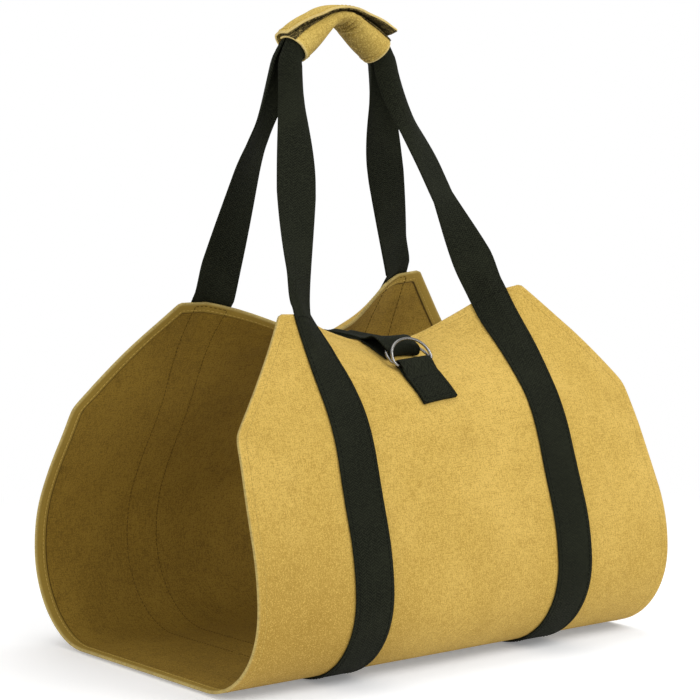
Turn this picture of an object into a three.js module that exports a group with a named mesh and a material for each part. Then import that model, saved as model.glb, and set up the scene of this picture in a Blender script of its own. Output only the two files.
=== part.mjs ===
// Log carrier: one sheet of waxed canvas hung as a sling, open at both ends and at the top, with two
// webbing loops sewn under it, a canvas wrap round both loops as the grip, and a double ring closure.
// Millimetres, +Z up. X runs along the sling, the front wall is at -Y, and z = 0 is the underside of
// the webbing, which the carrier stands on.
import * as THREE from "three";

// Driving dimensions
const SHEET_WIDTH = 460; // canvas edge to edge along X
const CANVAS = 1.6; // canvas wall
const HEM_WIDTH = 10; // folded hem round every canvas edge
const HEM_EXTRA = 1.2; // what the fold adds on the inside
const HEM_STEP = 0.8; // run of the small step at the hem's inner edge
const WEBBING_WIDTH = 40;
const WEBBING = 2; // webbing thickness
const STRAP_X = 113.5; // middle of each sewn strap
const GAP = 0.3; // clearance between pieces that touch
const EAR_X = 146; // half width of the canvas at its top corners
const TAPER_RUN = 107; // length of the slanted edge, measured down the wall
const SHOULDER_ROUND = 10; // softening of the corner where the slanted edge starts
const SEAM_GAP = 0.3; // between the two webbing loops under the base

// Each wall as it is walked from the middle of the base to the top corner: every stretch has a length
// and the angle that the wall turns inwards along it.
const FRONT_WALL = {
  side: -1,
  stretches: [
    { name: "base", length: 101, turn: 0, steps: 2 },
    { name: "corner", length: 127, turn: 90, steps: 8 },
    { name: "belly", length: 58, turn: 16.5, steps: 2 },
    { name: "wall", length: 52, turn: -1.5, steps: 2 },
    { name: "shoulder", length: 56, turn: 17.5, steps: 3 },
    { name: "slope", length: 60, turn: 2, steps: 3 },
    { name: "ear", length: 33, turn: -10, steps: 2 },
  ],
  pullStart: 360, // where the closure starts to draw the middle of the wall inwards
  pullTurn: 47, // extra turn at the middle, PULL_RUN further up
  pullPeak: 0, // how much sharper than a round bend the cloth comes in at the middle
  skewTurn: -1.5, // extra turn of the -X strap's line, and less of the +X one's
  endTurn: 7, // at the +X end, turn that comes in the belly and not in the shoulder
  edgeRise: { left: -8, right: 7 }, // how much further the cloth reaches at the -X and the +X strap
  legFoot: 0.35, // how far the wall's slope carries on into the webbing's legs
  legDrop: 0.5, // and how far the legs hang straight down below the grip, as shares of a third of a leg
  legTwist: { left: 6, right: 26 }, // how far each leg faces away from the mouth, in degrees
  legTurned: { left: 0.45, right: 0.4 }, // and the place along it where it has turned that far
};
const BACK_WALL = {
  side: 1,
  stretches: [
    { name: "base", length: 101, turn: 0, steps: 2 },
    { name: "corner", length: 127, turn: 90, steps: 8 },
    { name: "belly", length: 58, turn: 26.5, steps: 2 },
    { name: "wall", length: 62, turn: 5, steps: 2 },
    { name: "shoulder", length: 60, turn: -11, steps: 3 },
    { name: "slope", length: 55, turn: 11.5, steps: 3 },
    { name: "ear", length: 31, turn: -3, steps: 2 },
  ],
  pullStart: 365,
  pullTurn: 48,
  pullPeak: 1.2,
  skewTurn: 3.9,
  endTurn: 16,
  edgeRise: { left: 1, right: 5 },
  legFoot: 0.1,
  legDrop: 0.06,
  legTwist: { left: 30, right: 8 },
  legTurned: { left: 0.62, right: 0.45 },
};
const PULL_REACH = 125; // half width of the stretch that is drawn inwards
const PULL_KNEE = 118; // past this the drawn edge runs on straight, at PULL_FAR of its slope
const PULL_FAR = 0.3;
const PULL_RUN = 115; // length over which the extra turn builds up
const RISE_START = 250; // where the cloth starts to reach further on one side
const SKEW_START = 250; // where one end of a wall starts to lean in more than the other
const SKEW_RUN = 80;
const BELLY_START = 228;
const SHOULDER_START = 338;
const END_RUN = 57; // length of each of those two turns

// Grip: the webbing loops cup each other and the wrap goes round both, on an arch in the XZ plane
const GRIP_X = -10.5;
const GRIP_Y = 0;
const GRIP_TOP = 572; // middle of the cupped webbing at the crown of the arch
const ARCH_RADIUS = 26;
const ARCH_SLOPE = 37; // slope of the straight ends, in degrees
const ARCH_STRAIGHT = 40;
const ARCH_STEPS = 4; // stations on the bend, to each side of the crown
const STRAIGHT_STEPS = 2; // and on each straight end
const CUP_CROWN = { height: 3.2, depth: 17.5 }; // half sizes of the cupped webbing at the crown
const CUP_END = { height: 11, depth: 14.5 }; // and at the wrap's ends
const CUP_FULL = 0.8; // share of the half arch where the cup has reached its end size
const CUP_ANGLE = 84; // half angle of each cup, in degrees
const LEG_LEAD = 7; // how far the webbing stays cupped past the wrap's end
const LEG_STEPS = 12;
const LEG_HELD = 0.68; // place along a leg where it starts to turn back to the grip
const LEG_CUP_START = 0.5; // place along a leg where it starts to cup
const FREE_START = 6; // length above the top corner where the webbing leaves the wall

// Wrap with its overlapping flap and the hook-and-loop tape between
const WRAP_CLEARANCE = 0.6;
const TAPE = 1.2;
const FLAP_STEPS = 4;
const FLAP_RUN = 23; // run of the flap towards the front
const FLAP_SHORTER = { left: 13, right: 6 }; // how much shorter that run is at the wrap's two ends
const FLAP_DROP = 2; // how far the free edge bends down over a full run
const FLAP_LIFT = 6; // and how far it stands up again at the wrap's +X end

// Closure
const CLOSURE_WIDTH = 40;
const CLOSURE = 1.5; // closure webbing thickness
const CLOSURE_GAP = 0.55;
const CLOSURE_SAG = 4;
const CLOSURE_SEWN = 46; // length sewn to the back wall
const SEWN_STEPS = 3;
const TAIL_END = 0.2; // share of the mouth left bare by the tail, from the back edge
const FOLD_PLACE = { middle: 20, edge: 15 }; // where the strap turns back in the rings, up from their bars
const FOLD_REACH = 4; // how far the strap carries on into that turn
const FOLD_STEPS = 3;
const TAIL_REACH = 4; // straight run of the tail past the rings
const TAIL_LANDING = [
  { share: 0.55, height: 7.5 }, // share of the way from the rings to the wall's edge, and its lift there
  { share: 0.8, height: 2.5 },
  { share: 1, height: 0 },
];
const MOUTH_STEPS = 7;
const TAB_TILT = 4; // the tab is sewn on slightly askew, in degrees
const TAB_X = -9; // middle of the closure
const TAB_LENGTH = 46;
const TAB_SHARES = [1, 0.75, 0.5, 0.3]; // rows of the tab below the ring bars
const BAR_FROM_EDGE = 56; // lower ring's bar below the top edge of the front wall
const WIRE = 1.3; // ring wire radius
const WIRE_SIDES = 8;
const RING_HALF = 23.8; // wire middle to the ring's own middle
const RING_CORNER = 6;
const RING_ARC = 18; // rise of the round side above the corners
// The two bars lie side by side in the tab's fold, and the strap holds the rings up off the wall.
const LOWER_RING = { bar: 0, lift: 14 }; // bar's place up the tab, and degrees off the wall
const UPPER_RING = { bar: -2 * WIRE - GAP, lift: 38 };
const ARC_STEPS = 12;
const CORNER_STEPS = 3;

const CANVAS_OUT = new THREE.MeshStandardMaterial({ color: 0xc6a552, roughness: 0.85, metalness: 0 });
const WEBBING_BLACK = new THREE.MeshStandardMaterial({ color: 0x23251f, roughness: 0.8, metalness: 0 });
const TAPE_BROWN = new THREE.MeshStandardMaterial({ color: 0x2a2119, roughness: 0.95, metalness: 0 });
const RING_METAL = new THREE.MeshStandardMaterial({ color: 0x55534f, roughness: 0.35, metalness: 0.9 });

const { degToRad, lerp, clamp, smoothstep } = THREE.MathUtils;
const STRAP_INNER = STRAP_X - WEBBING_WIDTH / 2;
const BASE_Z = WEBBING + GAP + CANVAS / 2; // middle of the canvas where it lies flat
const WEBBING_LIFT = CANVAS / 2 + GAP + WEBBING / 2; // middle of the webbing off the middle of the canvas

const vector = (x, y, z) => new THREE.Vector3(x, y, z);
const along = (point, direction, length) => point.clone().addScaledVector(direction, length);
const total = (wall) => wall.stretches.reduce((sum, stretch) => sum + stretch.length, 0);

// A closed wall from rows of cells, each cell with a point on the outer and one on the inner face.
function sheet(rows) {
  const across = rows[0].length;
  const half = rows.length * across;
  const position = new Float32Array(half * 6);
  rows.forEach((row, r) =>
    row.forEach((cell, c) => {
      const k = r * across + c;
      cell.outer.toArray(position, k * 3);
      cell.inner.toArray(position, (half + k) * 3);
    }),
  );
  const index = [];
  const quad = (a, b, c, d) => index.push(a, b, c, a, c, d);
  for (let r = 0; r + 1 < rows.length; r++) {
    for (let c = 0; c + 1 < across; c++) {
      const k = r * across + c;
      const corners = [k, k + 1, k + across + 1, k + across];
      quad(...corners);
      const [p, q, s, t] = corners.map((i) => i + half);
      index.push(p, s, q, p, t, s);
    }
  }
  const edge = (a, b) => quad(b, a, a + half, b + half);
  const last = (rows.length - 1) * across;
  for (let c = 0; c + 1 < across; c++) {
    edge(c, c + 1);
    edge(last + c + 1, last + c);
  }
  for (let r = 0; r + 1 < rows.length; r++) {
    edge((r + 1) * across, r * across);
    edge(r * across + across - 1, (r + 1) * across + across - 1);
  }
  return facingOut(position, index);
}

// A closed tube round a closed path, from its rings of points.
function loop(rings) {
  const sides = rings[0].length;
  const position = new Float32Array(rings.flat().flatMap((point) => point.toArray()));
  const index = [];
  rings.forEach((ring, r) => {
    const next = (r + 1) % rings.length;
    ring.forEach((_, s) => {
      const t = (s + 1) % sides;
      const corners = [r * sides + s, r * sides + t, next * sides + t, next * sides + s];
      index.push(corners[0], corners[1], corners[2], corners[0], corners[2], corners[3]);
    });
  });
  return facingOut(position, index);
}

function facingOut(position, index) {
  const point = (i) => new THREE.Vector3().fromArray(position, i * 3);
  let volume = 0;
  for (let i = 0; i < index.length; i += 3) {
    volume += point(index[i]).dot(point(index[i + 1]).cross(point(index[i + 2])));
  }
  if (volume < 0) index.reverse();
  const geometry = new THREE.BufferGeometry();
  geometry.setAttribute("position", new THREE.BufferAttribute(position, 3));
  geometry.setIndex(index);
  geometry.computeVertexNormals();
  return geometry;
}

// Canvas surface
const WALK_STEP = 3; // step of the walk up a wall
const PROBE = 1; // distance to the neighbours that give a wall's directions

function headingAt(wall, walked) {
  let rest = walked;
  let heading = 0;
  for (const stretch of wall.stretches) {
    const part = clamp(rest / stretch.length, 0, 1);
    heading += stretch.turn * part;
    rest -= stretch.length;
  }
  return heading;
}

function surface(wall, x, place) {
  const rise = ((x < 0 ? wall.edgeRise.left : wall.edgeRise.right) * Math.abs(x)) / STRAP_X;
  const walked = place + rise * smoothstep(place, RISE_START, total(wall));
  const near = Math.min(Math.abs(x), PULL_KNEE);
  const far = Math.max(0, Math.abs(x) - PULL_KNEE) * PULL_FAR;
  const spread = (near * near + 2 * PULL_KNEE * far) / PULL_REACH ** 2;
  const pull = wall.pullTurn * (1 - (spread * (1 + wall.pullPeak)) / (1 + spread * wall.pullPeak));
  const skew = (-wall.skewTurn * x) / STRAP_X;
  const end = wall.endTurn * (Math.max(0, x) / (SHEET_WIDTH / 2)) ** 2;
  const count = Math.ceil(walked / WALK_STEP);
  const step = count > 0 ? walked / count : 0;
  let y = 0;
  let z = BASE_Z;
  for (let k = 0; k < count; k++) {
    const middle = (k + 0.5) * step;
    const drawn = Math.max(0, middle - wall.pullStart) / PULL_RUN;
    const skewed = clamp((middle - SKEW_START) / SKEW_RUN, 0, 1);
    const early = clamp((middle - BELLY_START) / END_RUN, 0, 1);
    const late = clamp((middle - SHOULDER_START) / END_RUN, 0, 1);
    const turned = pull * drawn + skew * skewed + end * (early - late);
    const heading = degToRad(headingAt(wall, middle) + turned);
    y += step * Math.cos(heading);
    z += step * Math.sin(heading);
  }
  return vector(x, wall.side * y, z);
}

function frameAt(wall, x, walked) {
  const up = surface(wall, x, walked + PROBE).sub(surface(wall, x, Math.max(0, walked - PROBE)));
  const across = surface(wall, x + PROBE, walked).sub(surface(wall, x - PROBE, walked));
  up.normalize();
  const normal = up.clone().cross(across).multiplyScalar(wall.side).normalize();
  return { point: surface(wall, x, walked), up, across: across.normalize(), normal };
}

function lifted(wall, x, walked, height) {
  const { point, normal } = frameAt(wall, x, walked);
  return along(point, normal, height);
}

function halfWidth(wall, walked) {
  const start = total(wall) - TAPER_RUN;
  const past = walked - start;
  const eased = (past + Math.hypot(past, SHOULDER_ROUND)) / 2;
  const slope = (SHEET_WIDTH / 2 - EAR_X) / TAPER_RUN;
  return SHEET_WIDTH / 2 - Math.max(0, eased) * slope;
}

// Row places, from the middle of the base up to the hem along the top edge.
function rowWalks(wall) {
  const walks = [];
  const hemStart = total(wall) - HEM_WIDTH - HEM_STEP;
  let start = 0;
  wall.stretches.forEach(({ length, steps }) => {
    const run = Math.min(length, hemStart - start);
    for (let k = 0; k < steps; k++) walks.push(start + (run * k) / steps);
    start += run;
  });
  return [...walks, hemStart, hemStart + HEM_STEP, total(wall)];
}

const CLOSURE_EDGE = CLOSURE_WIDTH / 2 - TAB_X; // far edge of the closure strap
const MIDDLE_COLUMNS = [0, CLOSURE_EDGE / 2, CLOSURE_EDGE, (CLOSURE_EDGE + STRAP_INNER) / 2];
const ACROSS = [-1, -0.5, 0, 0.5, 1]; // places across a strap, from its outer to its inner edge
const OUTER_COLUMNS = 3;

// Half the strap's width along X: less than half the webbing where the wall runs slanting under it.
function strapHalf(wall, sign, walked) {
  const x = sign * STRAP_X;
  const across = surface(wall, x + PROBE, walked).sub(surface(wall, x - PROBE, walked));
  return (WEBBING_WIDTH * PROBE) / across.length();
}

function columnX(k, width, half) {
  if (k < MIDDLE_COLUMNS.length) return MIDDLE_COLUMNS[k];
  const inStrap = k - MIDDLE_COLUMNS.length;
  if (inStrap < ACROSS.length) return STRAP_X + ACROSS[inStrap] * half;
  const hemStart = width - HEM_WIDTH - HEM_STEP;
  const outer = inStrap - ACROSS.length + 1;
  if (outer === OUTER_COLUMNS + 1) return width;
  if (outer === OUTER_COLUMNS) return width - HEM_WIDTH;
  return lerp(STRAP_X + half, hemStart, outer / (OUTER_COLUMNS - 1));
}

function canvasRow(wall, r) {
  const columns = MIDDLE_COLUMNS.length + ACROSS.length + OUTER_COLUMNS;
  const walks = rowWalks(wall);
  const cells = [];
  for (let k = -columns; k <= columns; k++) {
    const column = Math.abs(k);
    const half = strapHalf(wall, Math.sign(k), walks[r]);
    const x = Math.sign(k) * columnX(column, halfWidth(wall, walks[r]), half);
    const { point, normal } = frameAt(wall, x, walks[r]);
    const hem = column >= columns - 1 || r >= walks.length - 2;
    cells.push({
      outer: along(point, normal, CANVAS / 2),
      inner: along(point, normal, -CANVAS / 2 - (hem ? HEM_EXTRA : 0)),
    });
  }
  return cells;
}

function canvasBody() {
  const rowsOf = (wall) => rowWalks(wall).map((_, r) => canvasRow(wall, r));
  const front = rowsOf(FRONT_WALL).reverse();
  const back = rowsOf(BACK_WALL);
  return sheet([...front, ...back.slice(1)]);
}

// Grip arch: stations from the -X end to the +X end, with the direction along it and the one out of it
function archStations(lead) {
  const slope = degToRad(ARCH_SLOPE);
  const bend = ARCH_RADIUS * slope;
  const half = bend + ARCH_STRAIGHT + lead;
  const lengths = [];
  for (let k = 0; k <= STRAIGHT_STEPS; k++) lengths.push(lerp(-half, -bend, k / STRAIGHT_STEPS));
  for (let k = 1 - ARCH_STEPS; k < ARCH_STEPS; k++) lengths.push((bend * k) / ARCH_STEPS);
  for (let k = 0; k <= STRAIGHT_STEPS; k++) lengths.push(lerp(bend, half, k / STRAIGHT_STEPS));
  return lengths.map((length) => {
    const angle = clamp(length / ARCH_RADIUS, -slope, slope);
    const past = length - angle * ARCH_RADIUS;
    const forward = vector(Math.cos(angle), 0, -Math.sin(angle));
    const out = vector(Math.sin(angle), 0, Math.cos(angle));
    const crown = vector(GRIP_X, GRIP_Y, GRIP_TOP - ARCH_RADIUS);
    const point = along(along(crown, out, ARCH_RADIUS), forward, past);
    return { point, forward, out, place: length / (half - lead) };
  });
}

// The cup is flatter at the crown, where the grip bends.
function cupSize(place) {
  const share = smoothstep(Math.abs(place), 0, CUP_FULL);
  return {
    height: lerp(CUP_CROWN.height, CUP_END.height, share),
    depth: lerp(CUP_CROWN.depth, CUP_END.depth, share),
  };
}

// Webbing
const acrossOf = (wall) => (wall.side > 0 ? ACROSS : ACROSS.toReversed());

// One row of a strap: middle, width direction towards its inner edge, facing and how far it is cupped.
function strapRow(wall, middle, inward, facing, cup, size) {
  return acrossOf(wall).map((q) => {
    const angle = degToRad(CUP_ANGLE) * q;
    const wide = lerp((WEBBING_WIDTH / 2) * q, size.height * Math.sin(angle), cup);
    const deep = lerp(0, size.depth * (1 - Math.cos(angle)), cup);
    const point = along(along(middle, inward, wide), facing, -deep);
    const tilt = facing.clone().multiplyScalar(Math.cos(angle * cup));
    tilt.addScaledVector(inward, Math.sin(angle * cup)).normalize();
    return { outer: along(point, tilt, WEBBING / 2), inner: along(point, tilt, -WEBBING / 2) };
  });
}

function sewnRows(wall, sign) {
  const walks = [SEAM_GAP / 2, ...rowWalks(wall).slice(1), total(wall) + FREE_START];
  return walks.map((walked) =>
    acrossOf(wall).map((q) => {
      const x = sign * (STRAP_X - q * strapHalf(wall, sign, walked));
      const { point, normal } = frameAt(wall, x, walked);
      return {
        outer: along(point, normal, WEBBING_LIFT + WEBBING / 2),
        inner: along(point, normal, WEBBING_LIFT - WEBBING / 2),
      };
    }),
  );
}

function legRows(wall, sign, station) {
  const foot = frameAt(wall, sign * STRAP_X, total(wall) + FREE_START);
  const start = along(foot.point, foot.normal, WEBBING_LIFT);
  const facing = vector(0, wall.side, 0);
  const end = along(station.point, facing, CUP_END.depth);
  const reach = start.distanceTo(end) / 3;
  const path = new THREE.CubicBezierCurve3(
    start,
    along(start, foot.up, reach * wall.legFoot),
    along(end, vector(0, 0, -1), reach * wall.legDrop),
    end,
  );
  const which = sign < 0 ? "left" : "right";
  const twist = degToRad(wall.legTwist[which]);
  const twisted = vector(sign * Math.sin(twist), wall.side * Math.cos(twist), 0);
  const rows = [];
  for (let k = 1; k <= LEG_STEPS; k++) {
    const u = k / LEG_STEPS;
    const tangent = path.getTangentAt(u);
    const face = foot.normal.clone().lerp(twisted, Math.min(1, u / wall.legTurned[which]));
    face.lerp(facing, smoothstep(u, LEG_HELD, 1));
    face.addScaledVector(tangent, -face.dot(tangent)).normalize();
    const inward = tangent.clone().cross(face);
    if (inward.x * sign > 0) inward.negate();
    const cup = smoothstep(u, LEG_CUP_START, 1);
    rows.push(strapRow(wall, path.getPointAt(u), inward, face, cup, CUP_END));
  }
  return rows;
}

function webbing(wall) {
  const stations = archStations(LEG_LEAD);
  const first = stations[0];
  const lastStation = stations[stations.length - 1];
  const facing = vector(0, wall.side, 0);
  const crown = stations.slice(1, -1).map(({ point, out, place }) => {
    const size = cupSize(place);
    return strapRow(wall, along(point, facing, size.depth), out.clone().negate(), facing, 1, size);
  });
  const left = [...sewnRows(wall, -1), ...legRows(wall, -1, first)];
  const right = [...sewnRows(wall, 1), ...legRows(wall, 1, lastStation)].reverse();
  return sheet([...left, ...crown, ...right]);
}

// Wrap: its section starts behind the crown, goes down the front, under and up the back, and ends in
// the flap that lies over the start.
const WRAP_OFFSET = WEBBING / 2 + WRAP_CLEARANCE + CANVAS / 2; // wrap's first turn off the cupped webbing
const WRAP_START = -28; // degrees from the crown, towards the front
const WRAP_CLIMB = { from: 280, to: 330 }; // where the outer turn leaves the inner one
const WRAP_STEPS = 18;
const FLAP_START = 352;
const FLAP_HEIGHT = CANVAS + 2 * TAPE + 3 * GAP; // flap middle above the first turn's middle
const TAPE_START = -14;
const TAPE_END = 47;
const TAPE_STEPS = 4;

function oval(place, angle, offset) {
  const size = cupSize(place);
  const out = WRAP_OFFSET + offset;
  return new THREE.Vector2(
    -Math.sin(degToRad(angle)) * (size.depth + out),
    Math.cos(degToRad(angle)) * (size.height + out),
  );
}

function flapRun(place) {
  const from = oval(place, FLAP_START, FLAP_HEIGHT);
  const shorter = place < 0 ? FLAP_SHORTER.left : FLAP_SHORTER.right;
  const run = FLAP_RUN - shorter * place ** 2;
  const rise = FLAP_LIFT * Math.max(0, place) ** 2 - FLAP_DROP * (run / FLAP_RUN) ** 2;
  const points = [];
  for (let k = 1; k <= FLAP_STEPS; k++) {
    const share = k / FLAP_STEPS;
    points.push(new THREE.Vector2(from.x - run * share, from.y + rise * share * share));
  }
  return points;
}

function wrapSection(place) {
  const points = [];
  for (let k = 0; k <= WRAP_STEPS; k++) {
    const angle = lerp(WRAP_START, FLAP_START, k / WRAP_STEPS);
    const climb = smoothstep(angle, WRAP_CLIMB.from, WRAP_CLIMB.to);
    points.push(oval(place, angle, FLAP_HEIGHT * climb));
  }
  return [...points, ...flapRun(place)];
}

function tapeSection(place) {
  const points = [];
  for (let k = 0; k <= TAPE_STEPS; k++) {
    const angle = lerp(TAPE_START, TAPE_END, k / TAPE_STEPS);
    points.push(oval(place, angle, (CANVAS + TAPE) / 2 + GAP));
  }
  return points;
}

function hookSection(place) {
  const drop = (CANVAS + TAPE) / 2 + GAP;
  const points = flapRun(place);
  return points.map((point, k) => {
    const before = points[Math.max(0, k - 1)];
    const after = points[Math.min(points.length - 1, k + 1)];
    const run = after.clone().sub(before).normalize();
    return new THREE.Vector2(point.x - run.y * drop, point.y + run.x * drop);
  });
}

// A section strip carried along the arch, with its thickness to both sides.
function archStrip(sectionAt, thickness) {
  return sheet(
    archStations(0).map(({ point, out, place }) => {
      const section = sectionAt(place);
      return section.map((spot, k) => {
        const before = section[Math.max(0, k - 1)];
        const after = section[Math.min(section.length - 1, k + 1)];
        const run = after.clone().sub(before).normalize();
        const cell = (shift) => {
          const y = spot.x - run.y * shift;
          const height = spot.y + run.x * shift;
          return along(along(point, vector(0, 1, 0), y), out, height);
        };
        return { outer: cell(thickness / 2), inner: cell(-thickness / 2) };
      });
    }),
  );
}

// Closure: heights are off the middle of the front wall's canvas
const REST = CANVAS / 2 + CLOSURE_GAP;
const STRAP_HEIGHT = REST + CLOSURE / 2;
const BAR_HEIGHT = REST + CLOSURE + 2 * CLOSURE_GAP + WIRE;
const ROUND_WIRE = WIRE + CLOSURE_GAP + CLOSURE / 2; // middle of the webbing off the middle of a wire
const RING_DEPTH = RING_CORNER + RING_ARC;
const TAIL_HEIGHT = STRAP_HEIGHT + CLOSURE + GAP;
const EDGE_WALK = total(FRONT_WALL);
const BAR_WALK = EDGE_WALK - BAR_FROM_EDGE;
const BACK_EDGE = total(BACK_WALL);
const CLOSURE_COLUMNS = [-CLOSURE_WIDTH / 2, 0, CLOSURE_WIDTH / 2]; // off the closure's middle

// Place on the front wall in the tab's own directions: p across it and q up it from the ring bar.
function tabPlace(p, q, height) {
  const tilt = degToRad(TAB_TILT);
  const x = TAB_X + p * Math.cos(tilt) - q * Math.sin(tilt);
  const walked = BAR_WALK + p * Math.sin(tilt) + q * Math.cos(tilt);
  return lifted(FRONT_WALL, x, walked, height);
}

// The rings' bars rest on the wall at the two edges of the tab, because the wall is hollow across.
function ringFrame({ bar, lift }) {
  const edges = (q) => [-CLOSURE_WIDTH / 2, CLOSURE_WIDTH / 2].map((p) => tabPlace(p, q, 0));
  const [left, right] = edges(bar);
  const [farLeft, farRight] = edges(bar + RING_DEPTH);
  const middle = left.clone().lerp(right, 0.5);
  const acrossAxis = right.clone().sub(left).normalize();
  const upAxis = farLeft.lerp(farRight, 0.5).sub(middle).normalize();
  upAxis.addScaledVector(acrossAxis, -upAxis.dot(acrossAxis)).normalize();
  const outAxis = acrossAxis.clone().cross(upAxis).normalize();
  const origin = along(middle, outAxis, BAR_HEIGHT);
  upAxis.applyAxisAngle(acrossAxis, degToRad(lift));
  outAxis.applyAxisAngle(acrossAxis, degToRad(lift));
  return { origin, acrossAxis, upAxis, outAxis };
}

function ringSpot(frame, p, q, height) {
  const point = along(frame.origin, frame.acrossAxis, p);
  return along(along(point, frame.upAxis, q), frame.outAxis, height);
}

function dRing(ring) {
  const corner = new THREE.QuadraticBezierCurve(
    new THREE.Vector2(RING_HALF - RING_CORNER, 0),
    new THREE.Vector2(RING_HALF, 0),
    new THREE.Vector2(RING_HALF, RING_CORNER),
  ).getPoints(CORNER_STEPS);
  const arc = new THREE.EllipseCurve(0, RING_CORNER, RING_HALF, RING_ARC, 0, Math.PI).getPoints(ARC_STEPS);
  const mirrored = corner.map((spot) => new THREE.Vector2(-spot.x, spot.y)).reverse();
  const outline = [...corner, ...arc.slice(1), ...mirrored.slice(1)];
  const frame = ringFrame(ring);
  const path = outline.map((spot) => ringSpot(frame, spot.x, spot.y, 0));
  return loop(
    path.map((point, k) => {
      const before = path[(k + path.length - 1) % path.length];
      const after = path[(k + 1) % path.length];
      const run = after.clone().sub(before).normalize();
      const side = run.clone().cross(frame.outAxis).normalize();
      const top = side.clone().cross(run);
      return Array.from({ length: WIRE_SIDES }, (_, s) => {
        const turn = ((s + 0.5) / WIRE_SIDES) * 2 * Math.PI;
        const spot = along(point, side, WIRE * Math.cos(turn));
        return along(spot, top, WIRE * Math.sin(turn));
      });
    }),
  );
}

// A ribbon from a list of middle points, one row of columns each, with its thickness to both sides.
function ribbon(rows, thickness) {
  return sheet(
    rows.map((row, r) => {
      const before = rows[Math.max(0, r - 1)];
      const after = rows[Math.min(rows.length - 1, r + 1)];
      return row.map((point, c) => {
        const run = after[c].clone().sub(before[c]);
        const side = row[Math.min(c + 1, row.length - 1)].clone().sub(row[Math.max(c - 1, 0)]);
        const normal = run.cross(side).normalize();
        return { outer: along(point, normal, thickness / 2), inner: along(point, normal, -thickness / 2) };
      });
    }),
  );
}

// A flat row across the rings, in their plane.
function ringRow(frame, q, height) {
  return CLOSURE_COLUMNS.map((p) => ringSpot(frame, p, q, height));
}

// The tab: under both ring bars, round them and back down over itself.
function ringTab() {
  const frame = ringFrame({ bar: 0, lift: 0 });
  const onWall = (q, height) => CLOSURE_COLUMNS.map((p) => tabPlace(p, q, height));
  const under = TAB_SHARES.map((share) => onWall(-TAB_LENGTH * share, STRAP_HEIGHT));
  const over = TAB_SHARES.map((share) => onWall(-TAB_LENGTH * share, TAIL_HEIGHT));
  const fold = [];
  for (let k = 0; k <= 2 * FOLD_STEPS; k++) {
    const angle = (k / (2 * FOLD_STEPS)) * Math.PI;
    fold.push(ringRow(frame, ROUND_WIRE * Math.sin(angle), -ROUND_WIRE * Math.cos(angle)));
  }
  const below = ringRow(frame, UPPER_RING.bar, -ROUND_WIRE);
  const above = ringRow(frame, UPPER_RING.bar, ROUND_WIRE);
  return ribbon([...under, below, ...fold, above, ...over.reverse()], CLOSURE);
}

// Rows of the closure strap across the mouth, from one share of the way to another, back to front.
function mouthRows(height, from, to) {
  const rows = [];
  for (let k = 1; k <= MOUTH_STEPS; k++) {
    const share = lerp(from, to, k / (MOUTH_STEPS + 1));
    rows.push(
      CLOSURE_COLUMNS.map((p) => {
        const x = TAB_X + p;
        const back = frameAt(BACK_WALL, x, BACK_EDGE);
        const front = frameAt(FRONT_WALL, x, EDGE_WALK);
        const start = along(back.point, back.normal, height);
        const end = along(front.point, front.normal, height);
        const reach = start.distanceTo(end) / 3;
        const path = new THREE.CubicBezierCurve3(
          start,
          along(start, back.up, reach),
          along(end, front.up, reach),
          end,
        );
        const point = path.getPoint(share);
        point.z -= CLOSURE_SAG * Math.sin(Math.PI * share);
        return point;
      }),
    );
  }
  return rows;
}

// The strap's turn is bowed, as the rings' round side is.
const foldPlace = (p) => lerp(FOLD_PLACE.middle, FOLD_PLACE.edge, ((2 * p) / CLOSURE_WIDTH) ** 2);

// The turn of the closure strap inside the rings, up from the wall and back over the lower ring.
function foldRows(frame) {
  const paths = CLOSURE_COLUMNS.map((p) => {
    const start = tabPlace(p, foldPlace(p), STRAP_HEIGHT);
    const end = ringSpot(frame, p, foldPlace(p), ROUND_WIRE);
    return new THREE.CubicBezierCurve3(
      start,
      tabPlace(p, foldPlace(p) - FOLD_REACH, STRAP_HEIGHT),
      along(end, frame.upAxis, -FOLD_REACH),
      end,
    );
  });
  const rows = [];
  for (let k = 0; k < 2 * FOLD_STEPS; k++) {
    rows.push(paths.map((path) => path.getPoint(k / (2 * FOLD_STEPS))));
  }
  return rows;
}

// The closure strap: sewn behind, across the mouth, under both rings, back over the lower ring and
// under the upper one, and its tail lies back on itself.
function closureStrap() {
  const onWall = (wall, walked, height) =>
    CLOSURE_COLUMNS.map((p) => lifted(wall, TAB_X + p, walked, height));
  const sewn = [];
  for (let k = SEWN_STEPS; k >= 0; k--) {
    sewn.push(onWall(BACK_WALL, BACK_EDGE - (CLOSURE_SEWN * k) / SEWN_STEPS, STRAP_HEIGHT));
  }
  const frame = ringFrame(LOWER_RING);
  const arcWalk = BAR_WALK + RING_DEPTH;
  const down = [
    onWall(FRONT_WALL, EDGE_WALK, STRAP_HEIGHT),
    onWall(FRONT_WALL, lerp(arcWalk, EDGE_WALK, 0.5), STRAP_HEIGHT),
    CLOSURE_COLUMNS.map((p) => tabPlace(p, RING_DEPTH, STRAP_HEIGHT)),
    CLOSURE_COLUMNS.map((p) => tabPlace(p, lerp(foldPlace(p), RING_DEPTH, 0.5), STRAP_HEIGHT)),
  ];
  const over = [
    CLOSURE_COLUMNS.map((p) => ringSpot(frame, p, foldPlace(p), ROUND_WIRE)),
    ringRow(frame, RING_DEPTH, ROUND_WIRE),
    ringRow(frame, RING_DEPTH + TAIL_REACH, ROUND_WIRE),
  ];
  const landing = TAIL_LANDING.map(({ share, height }) =>
    onWall(FRONT_WALL, lerp(arcWalk, EDGE_WALK, share), TAIL_HEIGHT + height),
  );
  const across = mouthRows(STRAP_HEIGHT, 0, 1);
  const lying = mouthRows(TAIL_HEIGHT, 1, TAIL_END);
  return ribbon([...sewn, ...across, ...down, ...foldRows(frame), ...over, ...landing, ...lying], CLOSURE);
}

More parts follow.
